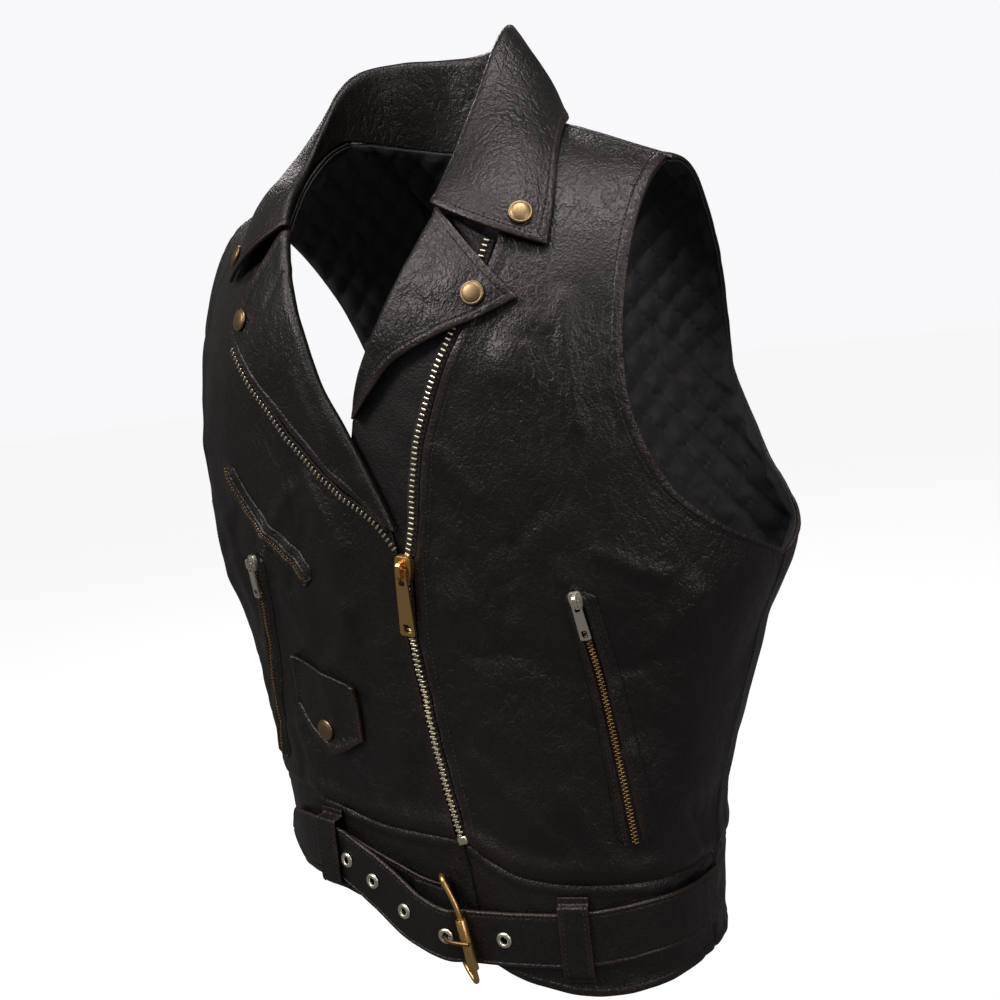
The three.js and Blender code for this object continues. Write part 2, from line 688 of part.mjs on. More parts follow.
function tongue(name) {
  const { half, columns } = TONGUE_SHAPE
  const [outer, inner] = ribbonGrids(tonguePath, tongueWidth, half, columns)
  const holes = EYELET_X.map((x) => {
    const { at, normal } = placeAt(tonguePath, x)
    const post = new THREE.CylinderGeometry(HOLE_RADIUS, HOLE_RADIUS, CUT_LENGTH, CUT_SIDES)
    return toSolid(stand(post, at, normal))
  })
  const strip = toSolid(wall(name, 'leather', outer, inner).geometry)
  return fromSolid(name, 'leather', holes.reduce((solid, hole) => solid.subtract(hole), strip))
}

// Profile of radius, height points turned round the Y axis, closed on itself or on the axis.
function turnedPiece(name, look, profile, sides, at, up) {
  const points = profile.map(([radius, height]) => new THREE.Vector2(radius, height))
  const geometry = stand(new THREE.LatheGeometry(points, sides), at, up)
  geometry.deleteAttribute('normal')
  geometry.deleteAttribute('uv')
  return fromSolid(name, look, toSolid(geometry))
}

const EYELET = [[3.1, 0], [5.5, 0], [5.2, 0.8], [4.2, 1.2], [3.1, 0.7], [3.1, 0]]
const EYELET_SIDES = 12
const SNAP = [[0, 0], [7, 0], [7.4, 0.7], [6.4, 1.8], [3.6, 2.6], [0, 2.8]]
const SNAP_SIDES = 14
const SEAT = 0.32

// Belt loop over the tongue: height and lift of its middle from top to bottom.
const LOOP_PROFILE = [
  // height over the tongue's middle line, share of the full lift
  [28.5, 0], [24.8, 0], [23.4, 0.25], [22.7, 0.75], [20.6, 1], [0, 1], [-20.6, 1], [-22.7, 0.75],
  [-23.4, 0.25], [-24.8, 0], [-28.5, 0]
]
const LOOP = { width: 10, half: 0.75 }

function beltLoop(name, x, middle, low, high) {
  const path = LOOP_PROFILE.map(([rise, share]) => {
    const angle = angleAt(x, middle + rise)
    const down = downAt(angle, middle + rise)
    return { at: lifted(angle, down, lerp(low, high, share)), normal: formNormal(angle, down) }
  })
  return ribbon(name, 'leather', path, LOOP.width, LOOP.half)
}

// Strap from the right that folds back round the buckle's hinge bar: x, height, lift of its middle.
const STRAP = [
  [-92, -476, 0.6], [-75, -477, 0.6], [-58, -480, 0.6], [-40, -486, 0.6], [-20, -493, 0.6],
  [0, -499, 0.9], [12, -501, 1.2]
]
const STRAP_SHAPE = { width: 13, half: 0.9, steps: 14 }
const HINGE = { top: [18.5, -480], bottom: [28.5, -541], lift: 4.6, radius: 1.8 }
const FOLD = { radius: 3.2, steps: 8, back: 26, backSteps: 3, backLift: 3.4 }

function strap(name) {
  const under = lineOn(STRAP, STRAP_SHAPE.steps)
  const middle = STRAP[STRAP.length - 1]
  const share = (middle[1] - HINGE.top[1]) / (HINGE.bottom[1] - HINGE.top[1])
  const barX = lerp(HINGE.top[0], HINGE.bottom[0], share)
  const round = (x, lift) => {
    const angle = angleAt(x, middle[1])
    return { at: onAngle(angle, middle[1], lift), normal: formNormal(angle, downAt(angle, middle[1])) }
  }
  const turns = Array.from({ length: FOLD.steps + 1 }, (_, i) => {
    const phi = Math.PI * (i / FOLD.steps - 0.5)
    return round(barX + FOLD.radius * Math.cos(phi), HINGE.lift + FOLD.radius * Math.sin(phi))
  })
  const over = Array.from({ length: FOLD.backSteps }, (_, i) => {
    const back = (i + 1) / FOLD.backSteps
    return round(barX - FOLD.back * back, lerp(HINGE.lift + FOLD.radius, FOLD.backLift, smooth(back)))
  })
  const path = [...under, ...turns, ...over]
  const barWay = new THREE.Vector3(HINGE.bottom[0] - HINGE.top[0], 0, HINGE.bottom[1] - HINGE.top[1])
  barWay.normalize()
  const frames = path.map(({ at }, i) => {
    const ahead = path[Math.min(i + 1, path.length - 1)].at
    const behind = path[Math.max(i - 1, 0)].at
    const way = ahead.clone().sub(behind).normalize()
    const tilt = smooth((i - under.length / 2) / (under.length / 2))
    const across = new THREE.Vector3(0, 0, -1).lerp(barWay, tilt).normalize()
    return { at, across, up: new THREE.Vector3().crossVectors(across, way).normalize() }
  })
  const layer = (side) => frames.map(({ at, across, up }) => [1, -1].map((end) =>
    at.clone().addScaledVector(across, end * STRAP_SHAPE.width).addScaledVector(up, side * STRAP_SHAPE.half)))
  return wall(name, 'leather', layer(1), layer(-1))
}

// Round bar along points; joined to itself where closed.
function bar(name, look, points, radius, sides, closed) {
  const count = points.length
  const wayAt = (i) => {
    const ahead = closed ? points[(i + 1) % count] : points[Math.min(i + 1, count - 1)]
    const behind = closed ? points[(i + count - 1) % count] : points[Math.max(i - 1, 0)]
    return ahead.clone().sub(behind).normalize()
  }
  const rings = []
  let side = new THREE.Vector3(0, -1, 0)
  for (let i = 0; i < count; i += 1) {
    const way = wayAt(i)
    side = side.clone().addScaledVector(way, -side.dot(way)).normalize()
    const other = new THREE.Vector3().crossVectors(way, side)
    rings.push(Array.from({ length: sides }, (_, k) => {
      const phi = (2 * Math.PI * k) / sides
      return points[i].clone().addScaledVector(side, radius * Math.cos(phi))
        .addScaledVector(other, radius * Math.sin(phi))
    }))
  }
  const faces = []
  const last = closed ? count : count - 1
  for (let i = 0; i < last; i += 1) {
    for (let k = 0; k < sides; k += 1) {
      const a = i * sides + k
      const b = i * sides + ((k + 1) % sides)
      const c = ((i + 1) % count) * sides + ((k + 1) % sides)
      const d = ((i + 1) % count) * sides + k
      faces.push([a, b, c], [a, c, d])
    }
  }
  if (!closed) {
    for (let k = 1; k < sides - 1; k += 1) {
      const end = (count - 1) * sides
      faces.push([0, k + 1, k], [end, end + k, end + k + 1])
    }
  }
  return body(name, look, rings.flat(), faces)
}

// Buckle: bent wire frame, roller on its outer bar, prong on its hinge bar.
const OUTER_BAR = { top: [33.4, -498], bottom: [42, -550], lift: 12 }
const ARM_TOP = { at: [22.5, -480.5], lift: 9.4 }
const CORNER = 6
const TIGHT_CORNER = 2.4
const CORNER_STEPS = 4
const BAR_SIDES = 8
const ROLLER = { inner: 2.15, outer: 3.5, length: 35, sides: 14, top: -505.5, bottom: -539.5 }
// Prong: its rise is x from the hinge bar and lift.
const PRONG = {
  radius: 1.3, height: -519, sides: 8,
  rise: [[-2.6, 11], [-2.2, 14.4], [1, 17.2], [8, 18.3], [17.5, 17.6]]
}

function frameLoop() {
  const spot = ({ lift }, [x, z]) => onFront(x, z, lift)
  const corners = [
    spot(OUTER_BAR, OUTER_BAR.top), spot(OUTER_BAR, OUTER_BAR.bottom),
    spot(HINGE, HINGE.bottom), spot(HINGE, HINGE.top), spot(ARM_TOP, ARM_TOP.at)
  ]
  const count = corners.length
  return corners.flatMap((corner, i) => {
    const reach = i < 3 ? CORNER : TIGHT_CORNER
    const before = corners[(i + count - 1) % count].clone().sub(corner).setLength(reach).add(corner)
    const after = corners[(i + 1) % count].clone().sub(corner).setLength(reach).add(corner)
    const bend = new THREE.QuadraticBezierCurve3(before, corner, after)
    return bend.getPoints(CORNER_STEPS)
  })
}

function roller(name) {
  const spot = (share) => onFront(
    lerp(OUTER_BAR.top[0], OUTER_BAR.bottom[0], share),
    lerp(OUTER_BAR.top[1], OUTER_BAR.bottom[1], share), OUTER_BAR.lift
  )
  const length = OUTER_BAR.bottom[1] - OUTER_BAR.top[1]
  const start = spot((ROLLER.bottom - OUTER_BAR.top[1]) / length)
  const end = spot((ROLLER.top - OUTER_BAR.top[1]) / length)
  const { inner, outer } = ROLLER
  const long = end.distanceTo(start)
  const profile = [[inner, 0], [outer, 0], [outer, long], [inner, long], [inner, 0]]
  return turnedPiece(name, 'brass', profile, ROLLER.sides, start, end.clone().sub(start).normalize())
}

function prong(name) {
  const share = (PRONG.height - HINGE.top[1]) / (HINGE.bottom[1] - HINGE.top[1])
  const barX = lerp(HINGE.top[0], HINGE.bottom[0], share)
  const ring = HINGE.radius + SEAM_GAP + PRONG.radius
  const turns = Array.from({ length: 8 }, (_, i) => {
    const phi = rad(-40 - i * 25)
    return onFront(barX + ring * Math.cos(phi), PRONG.height, HINGE.lift + ring * Math.sin(phi))
  })
  const rise = PRONG.rise.map(([x, lift]) => onFront(barX + x, PRONG.height, lift))
  return bar(name, 'darkBrass', [...turns, ...rise], PRONG.radius, PRONG.sides, false)
}

// Zip parts: half widths and lifts of the middle.
const TAPE_HALF = 0.4
const ROW_HALF = 1.1
const ZIP = {
  tapeLift: -0.5, rowLift: 1.4, closedTape: 1.4, closedShift: 1.8, openTape: 3.9, row: 2.1, closedRow: 3.1,
  lapelTapeLift: 1, lapelRowLift: 2.95, lapelTape: 2.6
}
const ZIP_STEP = 13
const ROW_LEFT_START = [31.8, -256]
const CLOSED_TOP = [[36, -452], [30, -424], [25, -395], [22, -361], [20, -321], [23.6, -283]]

function zipStrip(name, look, line, lift, width, half, first = 0, last = 1) {
  const length = line.slice(1).reduce((sum, point, i) =>
    sum + Math.hypot(point[0] - line[i][0], point[1] - line[i][1]), 0)
  return ribbon(name, look, pathOn(line, lift, Math.ceil(length / ZIP_STEP), first, last), width, half)
}

// Pocket zips that lie on the fronts, rising lines of x and height.
const POCKETS = {
  handLeft: {
    line: [[143.5, -457], [142, -412], [139.5, -360], [136.5, -321], [133.5, -291]],
    wide: 3.4, narrow: 1.6, rowEnd: 0.92, slider: 0.965
  },
  handRight: {
    line: [[-134, -425], [-128, -385], [-121, -335], [-117, -300], [-116.5, -272]],
    wide: 3, narrow: 1.6, rowEnd: 0.92, slider: 0.96
  },
  breast: {
    line: [[-62, -287], [-72, -275], [-88, -262], [-107, -247], [-122, -229], [-132, -211]],
    wide: 2.6, narrow: 2.6, rowEnd: 1
  }
}
const POCKET = {
  tape: 5, tapeLift: 0.9, row: 2.3, rowLift: 2.3, rowHalf: 0.65, weltLift: 1.6, weltHalf: 0.95, clear: 0.5
}

function pocket(name, { line, wide, narrow, rowEnd }, wideSide, rowLook) {
  const strip = (part, look, shift, lift, width, half, last = 1) =>
    zipStrip(`${name}_${part}`, look, moved(line, shift), lift, width, half, 0, last)
  const from = POCKET.tape + POCKET.clear
  return [
    strip('tape', 'tape', 0, POCKET.tapeLift, POCKET.tape, TAPE_HALF),
    strip('rows', rowLook, 0, POCKET.rowLift, POCKET.row, POCKET.rowHalf, rowEnd),
    strip('welt_wide', 'leather', wideSide * (from + wide), POCKET.weltLift, wide, POCKET.weltHalf),
    strip('welt_narrow', 'leather', -wideSide * (from + narrow), POCKET.weltLift, narrow, POCKET.weltHalf)
  ]
}

// Place on a front where a slider sits: x across, y off the form, z along the zip.
function seatFrame(x, z, aheadX, aheadZ, lift) {
  const angle = angleAt(x, z)
  const at = onAngle(angle, z, lift)
  const off = formNormal(angle, downAt(angle, z))
  const way = onFront(aheadX, aheadZ, lift).sub(at)
  const along = way.addScaledVector(off, -way.dot(off)).normalize()
  const across = new THREE.Vector3().crossVectors(along, off).negate()
  return new THREE.Matrix4().makeBasis(across, off, along).setPosition(at)
}

// Slider: shield outline, bridge over the pull's bar. Heights are from its underside.
const SLIDERS = {
  main: {
    half: 6, nose: 4.4, length: 17, thick: 4.8, bridge: 1.5, postIn: 3.6, postOut: 5, pivot: 6.7,
    under: 8.7, top: 10, bevel: 0.7
  },
  pocket: {
    half: 4.2, nose: 3, length: 11, thick: 3, bridge: 1.1, postIn: 2.5, postOut: 3.7, pivot: 4.5,
    under: 5.9, top: 6.9, bevel: 0.5
  }
}
// Pull: half widths at its top, low end, slot and eye, lengths from the pivot, angle it hangs at.
const PULLS = {
  main: {
    top: 4, low: 5.6, bar: 1.2, holeFrom: 1.4, holeTo: 10.5, hole: 2.2, length: 45, thick: 1.6, tilt: -3.2,
    round: 1.9, eye: 2.9, eyeFrom: 37, eyeTo: 42.7, eyeRound: 1
  },
  pocket: {
    top: 2.9, low: 3.4, bar: 0.9, holeFrom: 1.1, holeTo: 6.6, hole: 1.6, length: 25, thick: 1.1, tilt: -2.6,
    round: 1.2, eye: 1.8, eyeFrom: 18.9, eyeTo: 23.3, eyeRound: 0.6
  }
}

function slider(name, look, size, frame) {
  const { half, nose, length, thick, bridge, postIn, postOut, under, top, bevel } = size
  const end = length / 2
  const shield = new THREE.Shape()
  shield.moveTo(-nose + bevel, -end + bevel)
  shield.lineTo(nose - bevel, -end + bevel)
  shield.quadraticCurveTo(half - bevel, -end * 0.3, half - bevel, end * 0.2)
  shield.quadraticCurveTo(half - bevel, end - bevel, nose * 0.6, end - bevel)
  shield.lineTo(-nose * 0.6, end - bevel)
  shield.quadraticCurveTo(-half + bevel, end - bevel, -half + bevel, end * 0.2)
  shield.quadraticCurveTo(-half + bevel, -end * 0.3, -nose + bevel, -end + bevel)
  const plate = new THREE.ExtrudeGeometry(shield, {
    depth: thick - 2 * bevel, bevelThickness: bevel, bevelSize: bevel, bevelSegments: 2, curveSegments: 5
  })
  plate.rotateX(Math.PI / 2).translate(0, thick - bevel, 0)
  const arch = new THREE.Shape()
  arch.moveTo(-postOut, thick - bevel)
  arch.lineTo(-postIn, thick - bevel)
  arch.lineTo(-postIn, under - bevel)
  arch.lineTo(-postIn + bevel, under)
  arch.lineTo(postIn - bevel, under)
  arch.lineTo(postIn, under - bevel)
  arch.lineTo(postIn, thick - bevel)
  arch.lineTo(postOut, thick - bevel)
  arch.lineTo(postOut, under)
  arch.lineTo(postIn, top)
  arch.lineTo(-postIn, top)
  arch.lineTo(-postOut, under)
  arch.closePath()
  const bow = new THREE.ExtrudeGeometry(arch, { depth: 2 * bridge, bevelEnabled: false })
  bow.translate(0, 0, -bridge).rotateY(-Math.PI / 2)
  const solid = toSolid(plate).add(toSolid(bow))
  const mesh = fromSolid(name, look, solid)
  mesh.geometry.applyMatrix4(frame)
  return mesh
}

// Draws a plate or hole with round corners between two heights, with its half width at each.
function roundedOutline(path, top, topHalf, low, lowHalf, round) {
  path.moveTo(topHalf - round, top)
  path.lineTo(-topHalf + round, top)
  path.quadraticCurveTo(-topHalf, top, -topHalf, top - round)
  path.lineTo(-lowHalf, low + round)
  path.quadraticCurveTo(-lowHalf, low, -lowHalf + round, low)
  path.lineTo(lowHalf - round, low)
  path.quadraticCurveTo(lowHalf, low, lowHalf, low + round)
  path.lineTo(topHalf, top - round)
  path.quadraticCurveTo(topHalf, top, topHalf - round, top)
  return path
}

function pull(name, look, size, sliderSize, frame) {
  const { hole, holeFrom, holeTo, eye, eyeFrom, eyeTo, eyeRound, thick, tilt } = size
  const plate = roundedOutline(new THREE.Shape(), size.bar, size.top, -size.length, size.low, size.round)
  plate.holes.push(
    roundedOutline(new THREE.Path(), -holeFrom, hole, -holeTo, hole, eyeRound),
    roundedOutline(new THREE.Path(), -eyeFrom, eye, -eyeTo, eye, eyeRound)
  )
  const geometry = new THREE.ExtrudeGeometry(plate, { depth: thick, bevelEnabled: false, curveSegments: 4 })
  geometry.translate(0, 0, -thick / 2).rotateX(Math.PI / 2).rotateX(rad(tilt))
  geometry.translate(0, sliderSize.pivot, 0).applyMatrix4(frame)
  return fromSolid(name, look, toSolid(geometry))
}

// Coin pocket flap: its top edge and its pointed lower edge as x, height.
const FLAP_TOP = [[-95, -341], [-36, -358]]
const FLAP_LOW = [[-98, -377], [-67, -407], [-34, -395]]
const FLAP = { rows: 3, columns: 8, out: 2.4, into: 0.6 }

function flap(name) {
  const layer = (lift) => grid(FLAP.rows + 1, FLAP.columns + 1, (i, j) => {
    const top = along(FLAP_TOP, j / FLAP.columns)
    const share = j / FLAP.columns
    const low = share < 0.5
      ? along(FLAP_LOW.slice(0, 2), share * 2)
      : along(FLAP_LOW.slice(1), share * 2 - 1)
    return onFront(lerp(low[0], top[0], i / FLAP.rows), lerp(low[1], top[1], i / FLAP.rows), lift)
  })
  return wall(name, 'leather', layer(FLAP.out), layer(FLAP.into))
}

// Seat on the outside of a wall nearest to a point: where a cap stands and which way it faces.
function seatOn(mesh, target) {
  const position = mesh.geometry.getAttribute('position')
  const index = mesh.geometry.getIndex()
  const triangle = new THREE.Triangle()
  const close = new THREE.Vector3()
  let best = { distance: Infinity }
  for (let i = 0; i < index.count; i += 3) {
    triangle.setFromAttributeAndIndices(position, index.getX(i), index.getX(i + 1), index.getX(i + 2))
    const normal = triangle.getNormal(new THREE.Vector3())
    triangle.closestPointToPoint(target, close)
    const distance = close.distanceTo(target)
    if (normal.y < 0 && distance < best.distance) best = { distance, at: close.clone(), normal }
  }
  return best
}

function cap(name, mesh, target) {
  const { at, normal } = seatOn(mesh, target)
  return turnedPiece(name, 'darkBrass', SNAP, SNAP_SIDES, at.addScaledVector(normal, SEAT + 0.1), normal)
}
const vest = new THREE.Group()
vest.name = 'leather_vest'
const add = (...meshes) => vest.add(...meshes)

add(shell('front_left', 'leather', leftCells, 0, -LEATHER))
add(shell('front_right', 'leather', rightCells, 0, -LEATHER))
add(shell('back', 'leather', backCells, 0, -LEATHER))
add(quilted('lining_front_left', leftCells))
add(quilted('lining_front_right', rightCells.map((row) => row.slice(FACING_COLUMNS))))
add(quilted('lining_back', backCells))
add(shell('facing_right', 'facing', facingCells, FACING_OUT, FACING_IN))
add(patch(
  'underlap', 'facing',
  [...UNDERLAP_EDGE, ...moved(ROLL_LEFT, LEFT_ROLL_ROOM)],
  [...moved(ZIP_CLOSED, -ZIP_REACH), ...moved(ZIP_LEFT, -ZIP_REACH).slice(0, -1)],
  UNDERLAP_ROWS, UNDERLAP_COLUMNS, FACING_OUT, FACING_IN
))
add(lapel('lapel_left', ROLL_LEFT, LAPEL_LEFT_EDGE, LEFT_LAPEL))
add(lapel('lapel_right', ROLL_RIGHT, LAPEL_RIGHT_EDGE, RIGHT_LAPEL))
add(collar('collar'))

const SIDE_COLUMNS = 9
const BACK_BAND_COLUMNS = 16
const sideAt = (angle) => () => angle
add(waistband('waistband_left', splitAt(1), sideAt(90 - SIDE_SEAM), SIDE_COLUMNS, BAND_OUT.left))
add(waistband('waistband_right', splitAt(-1), sideAt(SIDE_SEAM - 90), SIDE_COLUMNS, BAND_OUT.right))
add(waistband(
  'waistband_back', sideAt(90 + SIDE_SEAM), sideAt(270 - SIDE_SEAM), BACK_BAND_COLUMNS, BAND_OUT.back
))

add(tongue('belt_tongue'))
EYELET_X.forEach((x, i) => {
  const { at, normal } = placeAt(tonguePath, x)
  const seat = at.addScaledVector(normal, TONGUE_SHAPE.half + SEAT)
  add(turnedPiece(`eyelet_${i + 1}`, 'silver', EYELET, EYELET_SIDES, seat, normal))
})
add(beltLoop('belt_loop_left', 107, -517.7, 1.15, 5))
add(beltLoop('belt_loop_right', -77, -478.4, 0.25, 7.6))
add(strap('belt_strap'))
add(bar('buckle_frame', 'brass', frameLoop(), HINGE.radius, BAR_SIDES, true))
add(roller('buckle_roller'))
add(prong('buckle_prong'))

const closedLeft = moved(CLOSED_TOP, ZIP.closedShift)
const closedRight = moved(CLOSED_TOP, -ZIP.closedShift)
const openLeft = ZIP_LEFT.slice(0, -1)
const rowLeft = [ROW_LEFT_START, ...ZIP_LEFT.slice(1, -1)]
const openRight = ZIP_RIGHT.slice(1)
const { tapeLift, lapelTapeLift } = ZIP
add(zipStrip('front_zip_tape_left', 'tape', closedLeft, tapeLift, ZIP.closedTape, TAPE_HALF))
add(zipStrip('front_zip_tape_left_open', 'tape', openLeft, tapeLift, ZIP.openTape, TAPE_HALF))
add(zipStrip('front_zip_tape_right', 'tape', closedRight, tapeLift, ZIP.closedTape, TAPE_HALF))
add(zipStrip('front_zip_tape_right_open', 'tape', openRight, lapelTapeLift, ZIP.lapelTape, TAPE_HALF))
add(zipStrip('front_zip_rows_closed', 'paleBrass', CLOSED_TOP, ZIP.rowLift, ZIP.closedRow, ROW_HALF))
add(zipStrip('front_zip_row_left', 'paleBrass', rowLeft, ZIP.rowLift, ZIP.row, ROW_HALF))
add(zipStrip('front_zip_row_right', 'paleBrass', openRight, ZIP.lapelRowLift, ZIP.row, ROW_HALF))

add(...pocket('hand_pocket_left', POCKETS.handLeft, 1, 'darkBrass'))
add(...pocket('hand_pocket_right', POCKETS.handRight, -1, 'darkBrass'))
add(...pocket('breast_pocket', POCKETS.breast, -1, 'darkBrass'))

const MAIN_LIFT = 0.4
const POCKET_SLIDER_LIFT = 1.65
const mainSeat = seatFrame(25, -273, 26.2, -263, MAIN_LIFT)
add(slider('front_zip_slider', 'brass', SLIDERS.main, mainSeat))
add(pull('front_zip_pull', 'brass', PULLS.main, SLIDERS.main, mainSeat))
for (const [side, { line, slider: share }] of Object.entries({
  left: POCKETS.handLeft, right: POCKETS.handRight
})) {
  const [x, z] = along(line, share)
  const [aheadX, aheadZ] = along(line, 1)
  const seat = seatFrame(x, z, aheadX, aheadZ, POCKET_SLIDER_LIFT)
  add(slider(`hand_pocket_${side}_slider`, 'silver', SLIDERS.pocket, seat))
  add(pull(`hand_pocket_${side}_pull`, 'silver', PULLS.pocket, SLIDERS.pocket, seat))
}

const coinFlap = flap('coin_pocket_flap')
add(coinFlap)
const named = (name) => vest.getObjectByName(name)
add(cap('snap_collar_left', named('collar'), new THREE.Vector3(113, -78, -70)))
add(cap('snap_collar_right', named('collar'), new THREE.Vector3(-106, -76, -73)))
add(cap('snap_lapel_left', named('lapel_left'), new THREE.Vector3(94, -110, -110)))
add(cap('snap_lapel_right', named('lapel_right'), new THREE.Vector3(-90, -110, -112)))
add(cap('snap_coin_flap', coinFlap, new THREE.Vector3(-69, -112, -391)))

export default vest
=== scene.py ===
import math
import bpy
import numpy as np
from mathutils import Matrix, Vector, noise


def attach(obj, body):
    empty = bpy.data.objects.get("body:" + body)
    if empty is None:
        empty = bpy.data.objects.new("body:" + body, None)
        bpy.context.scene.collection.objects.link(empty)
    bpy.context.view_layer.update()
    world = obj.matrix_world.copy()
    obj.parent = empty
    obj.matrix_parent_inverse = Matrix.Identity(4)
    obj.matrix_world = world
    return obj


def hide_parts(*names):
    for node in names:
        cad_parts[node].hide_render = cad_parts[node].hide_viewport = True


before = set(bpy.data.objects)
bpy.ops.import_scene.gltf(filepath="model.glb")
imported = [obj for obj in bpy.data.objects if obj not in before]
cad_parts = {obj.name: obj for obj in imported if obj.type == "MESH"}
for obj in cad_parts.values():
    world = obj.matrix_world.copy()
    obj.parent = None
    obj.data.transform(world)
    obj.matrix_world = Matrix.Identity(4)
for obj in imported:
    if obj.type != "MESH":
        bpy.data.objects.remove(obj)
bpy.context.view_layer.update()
GARMENT = "garment"

# Camera at the photograph's view: turn, rise and roll in degrees, place in metres, lens in mm.
CAMERA = {"turn": 34.4, "rise": 9.6, "roll": -6.8, "place": (0.5556, -0.7803, -0.0948), "lens": 50.0}


def set_camera():
    turn, rise, roll = (math.radians(CAMERA[key]) for key in ("turn", "rise", "roll"))
    back = Vector((math.sin(turn) * math.cos(rise), -math.cos(turn) * math.cos(rise), math.sin(rise)))
    right = Vector((math.cos(turn), math.sin(turn), 0))
    up = back.cross(right)
    side = right * math.cos(roll) + up * math.sin(roll)
    top = up * math.cos(roll) - right * math.sin(roll)
    data = bpy.data.cameras.new("photo_camera")
    data.lens = CAMERA["lens"]
    camera = bpy.data.objects.new("photo_camera", data)
    bpy.context.collection.objects.link(camera)
    turned = Matrix((side, top, back)).transposed().to_4x4()
    camera.matrix_world = Matrix.Translation(CAMERA["place"]) @ turned
    bpy.context.scene.camera = camera


set_camera()

# The body form, in millimetres: level sections of the leather's outer face.
SECTIONS = [
    # height, half width left, half width right, front depth, back depth, side seam y
    [-575, 160, 158, 110, 84, -14],
    [-510, 162, 160, 110, 84, -12],
    [-455, 168, 166, 110, 86, -8],
    [-400, 182, 178, 110, 94, 0],
    [-340, 201, 192, 111, 104, 6],
    [-290, 222, 210, 115, 112, 10],
    [-230, 222, 214, 120, 118, 14],
    [-180, 218, 214, 122, 118, 16],
    [-120, 214, 212, 120, 114, 16],
    [-60, 212, 212, 112, 106, 14],
    [0, 212, 212, 100, 96, 12],
    [60, 212, 212, 100, 96, 12],
]
SQUARENESS = 2.5
NECK_HALF = 67
SHOULDER_SLOPE = math.tan(math.radians(23))
SHOULDER_SOFT = 40
SHOULDER_ROUND = 150
RIDGE_Y = 8

# Largest soft folds, as in the solids: from x, z to x, z, half width, height.
FOLDS = [
    (-42, -235, -32, -300, 14, 2.4),
    (-168, -200, -160, -290, 15, 3),
    (62, -300, 84, -440, 16, 2.6),
    (112, -150, 132, -245, 16, 2),
    (184, -320, 166, -430, 14, 2.4),
]
# Finer folds of the fronts, in the same columns.
SMALL_FOLDS = [
    (-60, -222, -104, -262, 6, 1.5),
    (-50, -240, -84, -292, 5, -1.2),
    (-92, -296, -76, -330, 7, 1.4),
    (-30, -305, -50, -345, 8, 1.3),
    (-8, -330, -2, -420, 7, 1.2),
    (-100, -395, -86, -440, 9, 1.5),
    (-56, -405, -30, -440, 8, 1.5),
    (-145, -330, -140, -420, 8, 1.8),
    (48, -290, 62, -380, 6, 1.1),
    (96, -310, 104, -430, 9, 1.4),
    (150, -300, 132, -284, 5, 1.4),
    (180, -286, 150, -268, 6, 1.6),
    (196, -300, 170, -330, 6, 1.6),
    (120, -240, 100, -262, 5, -0.9),
    (60, -200, 84, -228, 6, 0.9),
    (100, -110, 130, -130, 7, 1),
    (140, -120, 146, -190, 6, 1.2),
    (52, -400, 100, -452, 8, 1.3),
    (110, -420, 130, -466, 7, 1.4),
    (150, -400, 152, -470, 8, 1.6),
    (-150, -250, -112, -420, 7, 1.6),
    (-174, -240, -142, -400, 7, 1.7),
    (-112, -290, -92, -400, 6, -1.3),
    (-70, -300, -60, -385, 8, 1.3),
    (-45, -215, -22, -262, 5, 1.3),
    (-36, -150, -12, -225, 5, 1.2),
]

BAND_TOP = [
    # angle round the body, height
    [-180, -470], [-150, -462], [-120, -453], [-90, -447], [-61, -443], [-30, -442], [-16, -449],
    [-6, -455], [9, -458], [13, -467], [21, -477], [33, -482], [51, -484], [83, -488], [120, -484],
    [150, -478], [180, -470],
]
HEM = [
    # angle round the body, height
    [-180, -537], [-150, -528], [-120, -519], [-90, -512], [-61, -508], [-33, -505], [-19, -510],
    [-6, -520], [6, -531], [10, -537], [20, -549], [31, -554], [43, -557], [61, -556], [90, -555],
    [120, -552], [150, -545], [180, -537],
]
UNDERARM = -292
ARM_FRONT = [
    # height, angle away from the front centre
    [-292, 90], [-286, 87.5], [-278, 80.5], [-270.5, 73.7], [-262, 67.3], [-253, 61.9], [-239, 56.3],
    [-226, 53.1], [-207.5, 50.2], [-180, 48.3], [-155, 48], [-140, 48.2], [-107, 49], [-73, 50],
    [-43, 51],
]
ARM_BACK = [
    # height, angle away from the back centre
    [-292, 90], [-287, 84], [-279, 75], [-268, 66.5], [-258, 59.8], [-240, 52], [-225, 48.3],
    [-211, 45.6], [-195, 43.3], [-185, 42.4], [-165, 42.4], [-145, 44], [-126, 45.5], [-100, 47.5],
    [-70, 50], [-43, 52],
]

# Lines on the fronts: x, height.
ZIP_CLOSED = [[36, -452], [30, -424], [25, -395], [22, -361], [20, -321], [24, -288], [26, -268]]
CLOSED_ROW = [[37, -455.5]] + ZIP_CLOSED[:5] + [[23.6, -283]]
ZIP_LEFT = [
    [29, -266], [36, -242], [42, -217], [49, -193], [59, -169], [69, -149], [80, -129], [91, -100],
    [95, -80], [93, -64],
]
ZIP_RIGHT = [
    [21, -262], [14, -251], [6, -242], [-11, -229], [-28, -215], [-43, -200], [-55, -188], [-67, -173],
    [-80, -159], [-92, -144], [-102, -131],
]
ROLL_LEFT = [[2, -177], [7, -163], [18, -142], [32, -119], [48, -89], [57, -70], [61, -58]]
ROLL_RIGHT = [
    [22, -250], [16, -232], [7, -208], [-3, -186], [-17, -159], [-28, -127], [-40, -99], [-50, -75],
    [-57, -59],
]
LAPEL_LEFT_EDGE = [[6, -178], [23, -161], [43, -144], [75, -131], [95, -125], [117, -116]]
LAPEL_RIGHT_EDGE = [
    [14, -243], [-7, -224], [-24, -210], [-39, -195], [-51, -183], [-63, -169], [-77, -155], [-89, -140],
    [-99, -129], [-108, -119],
]
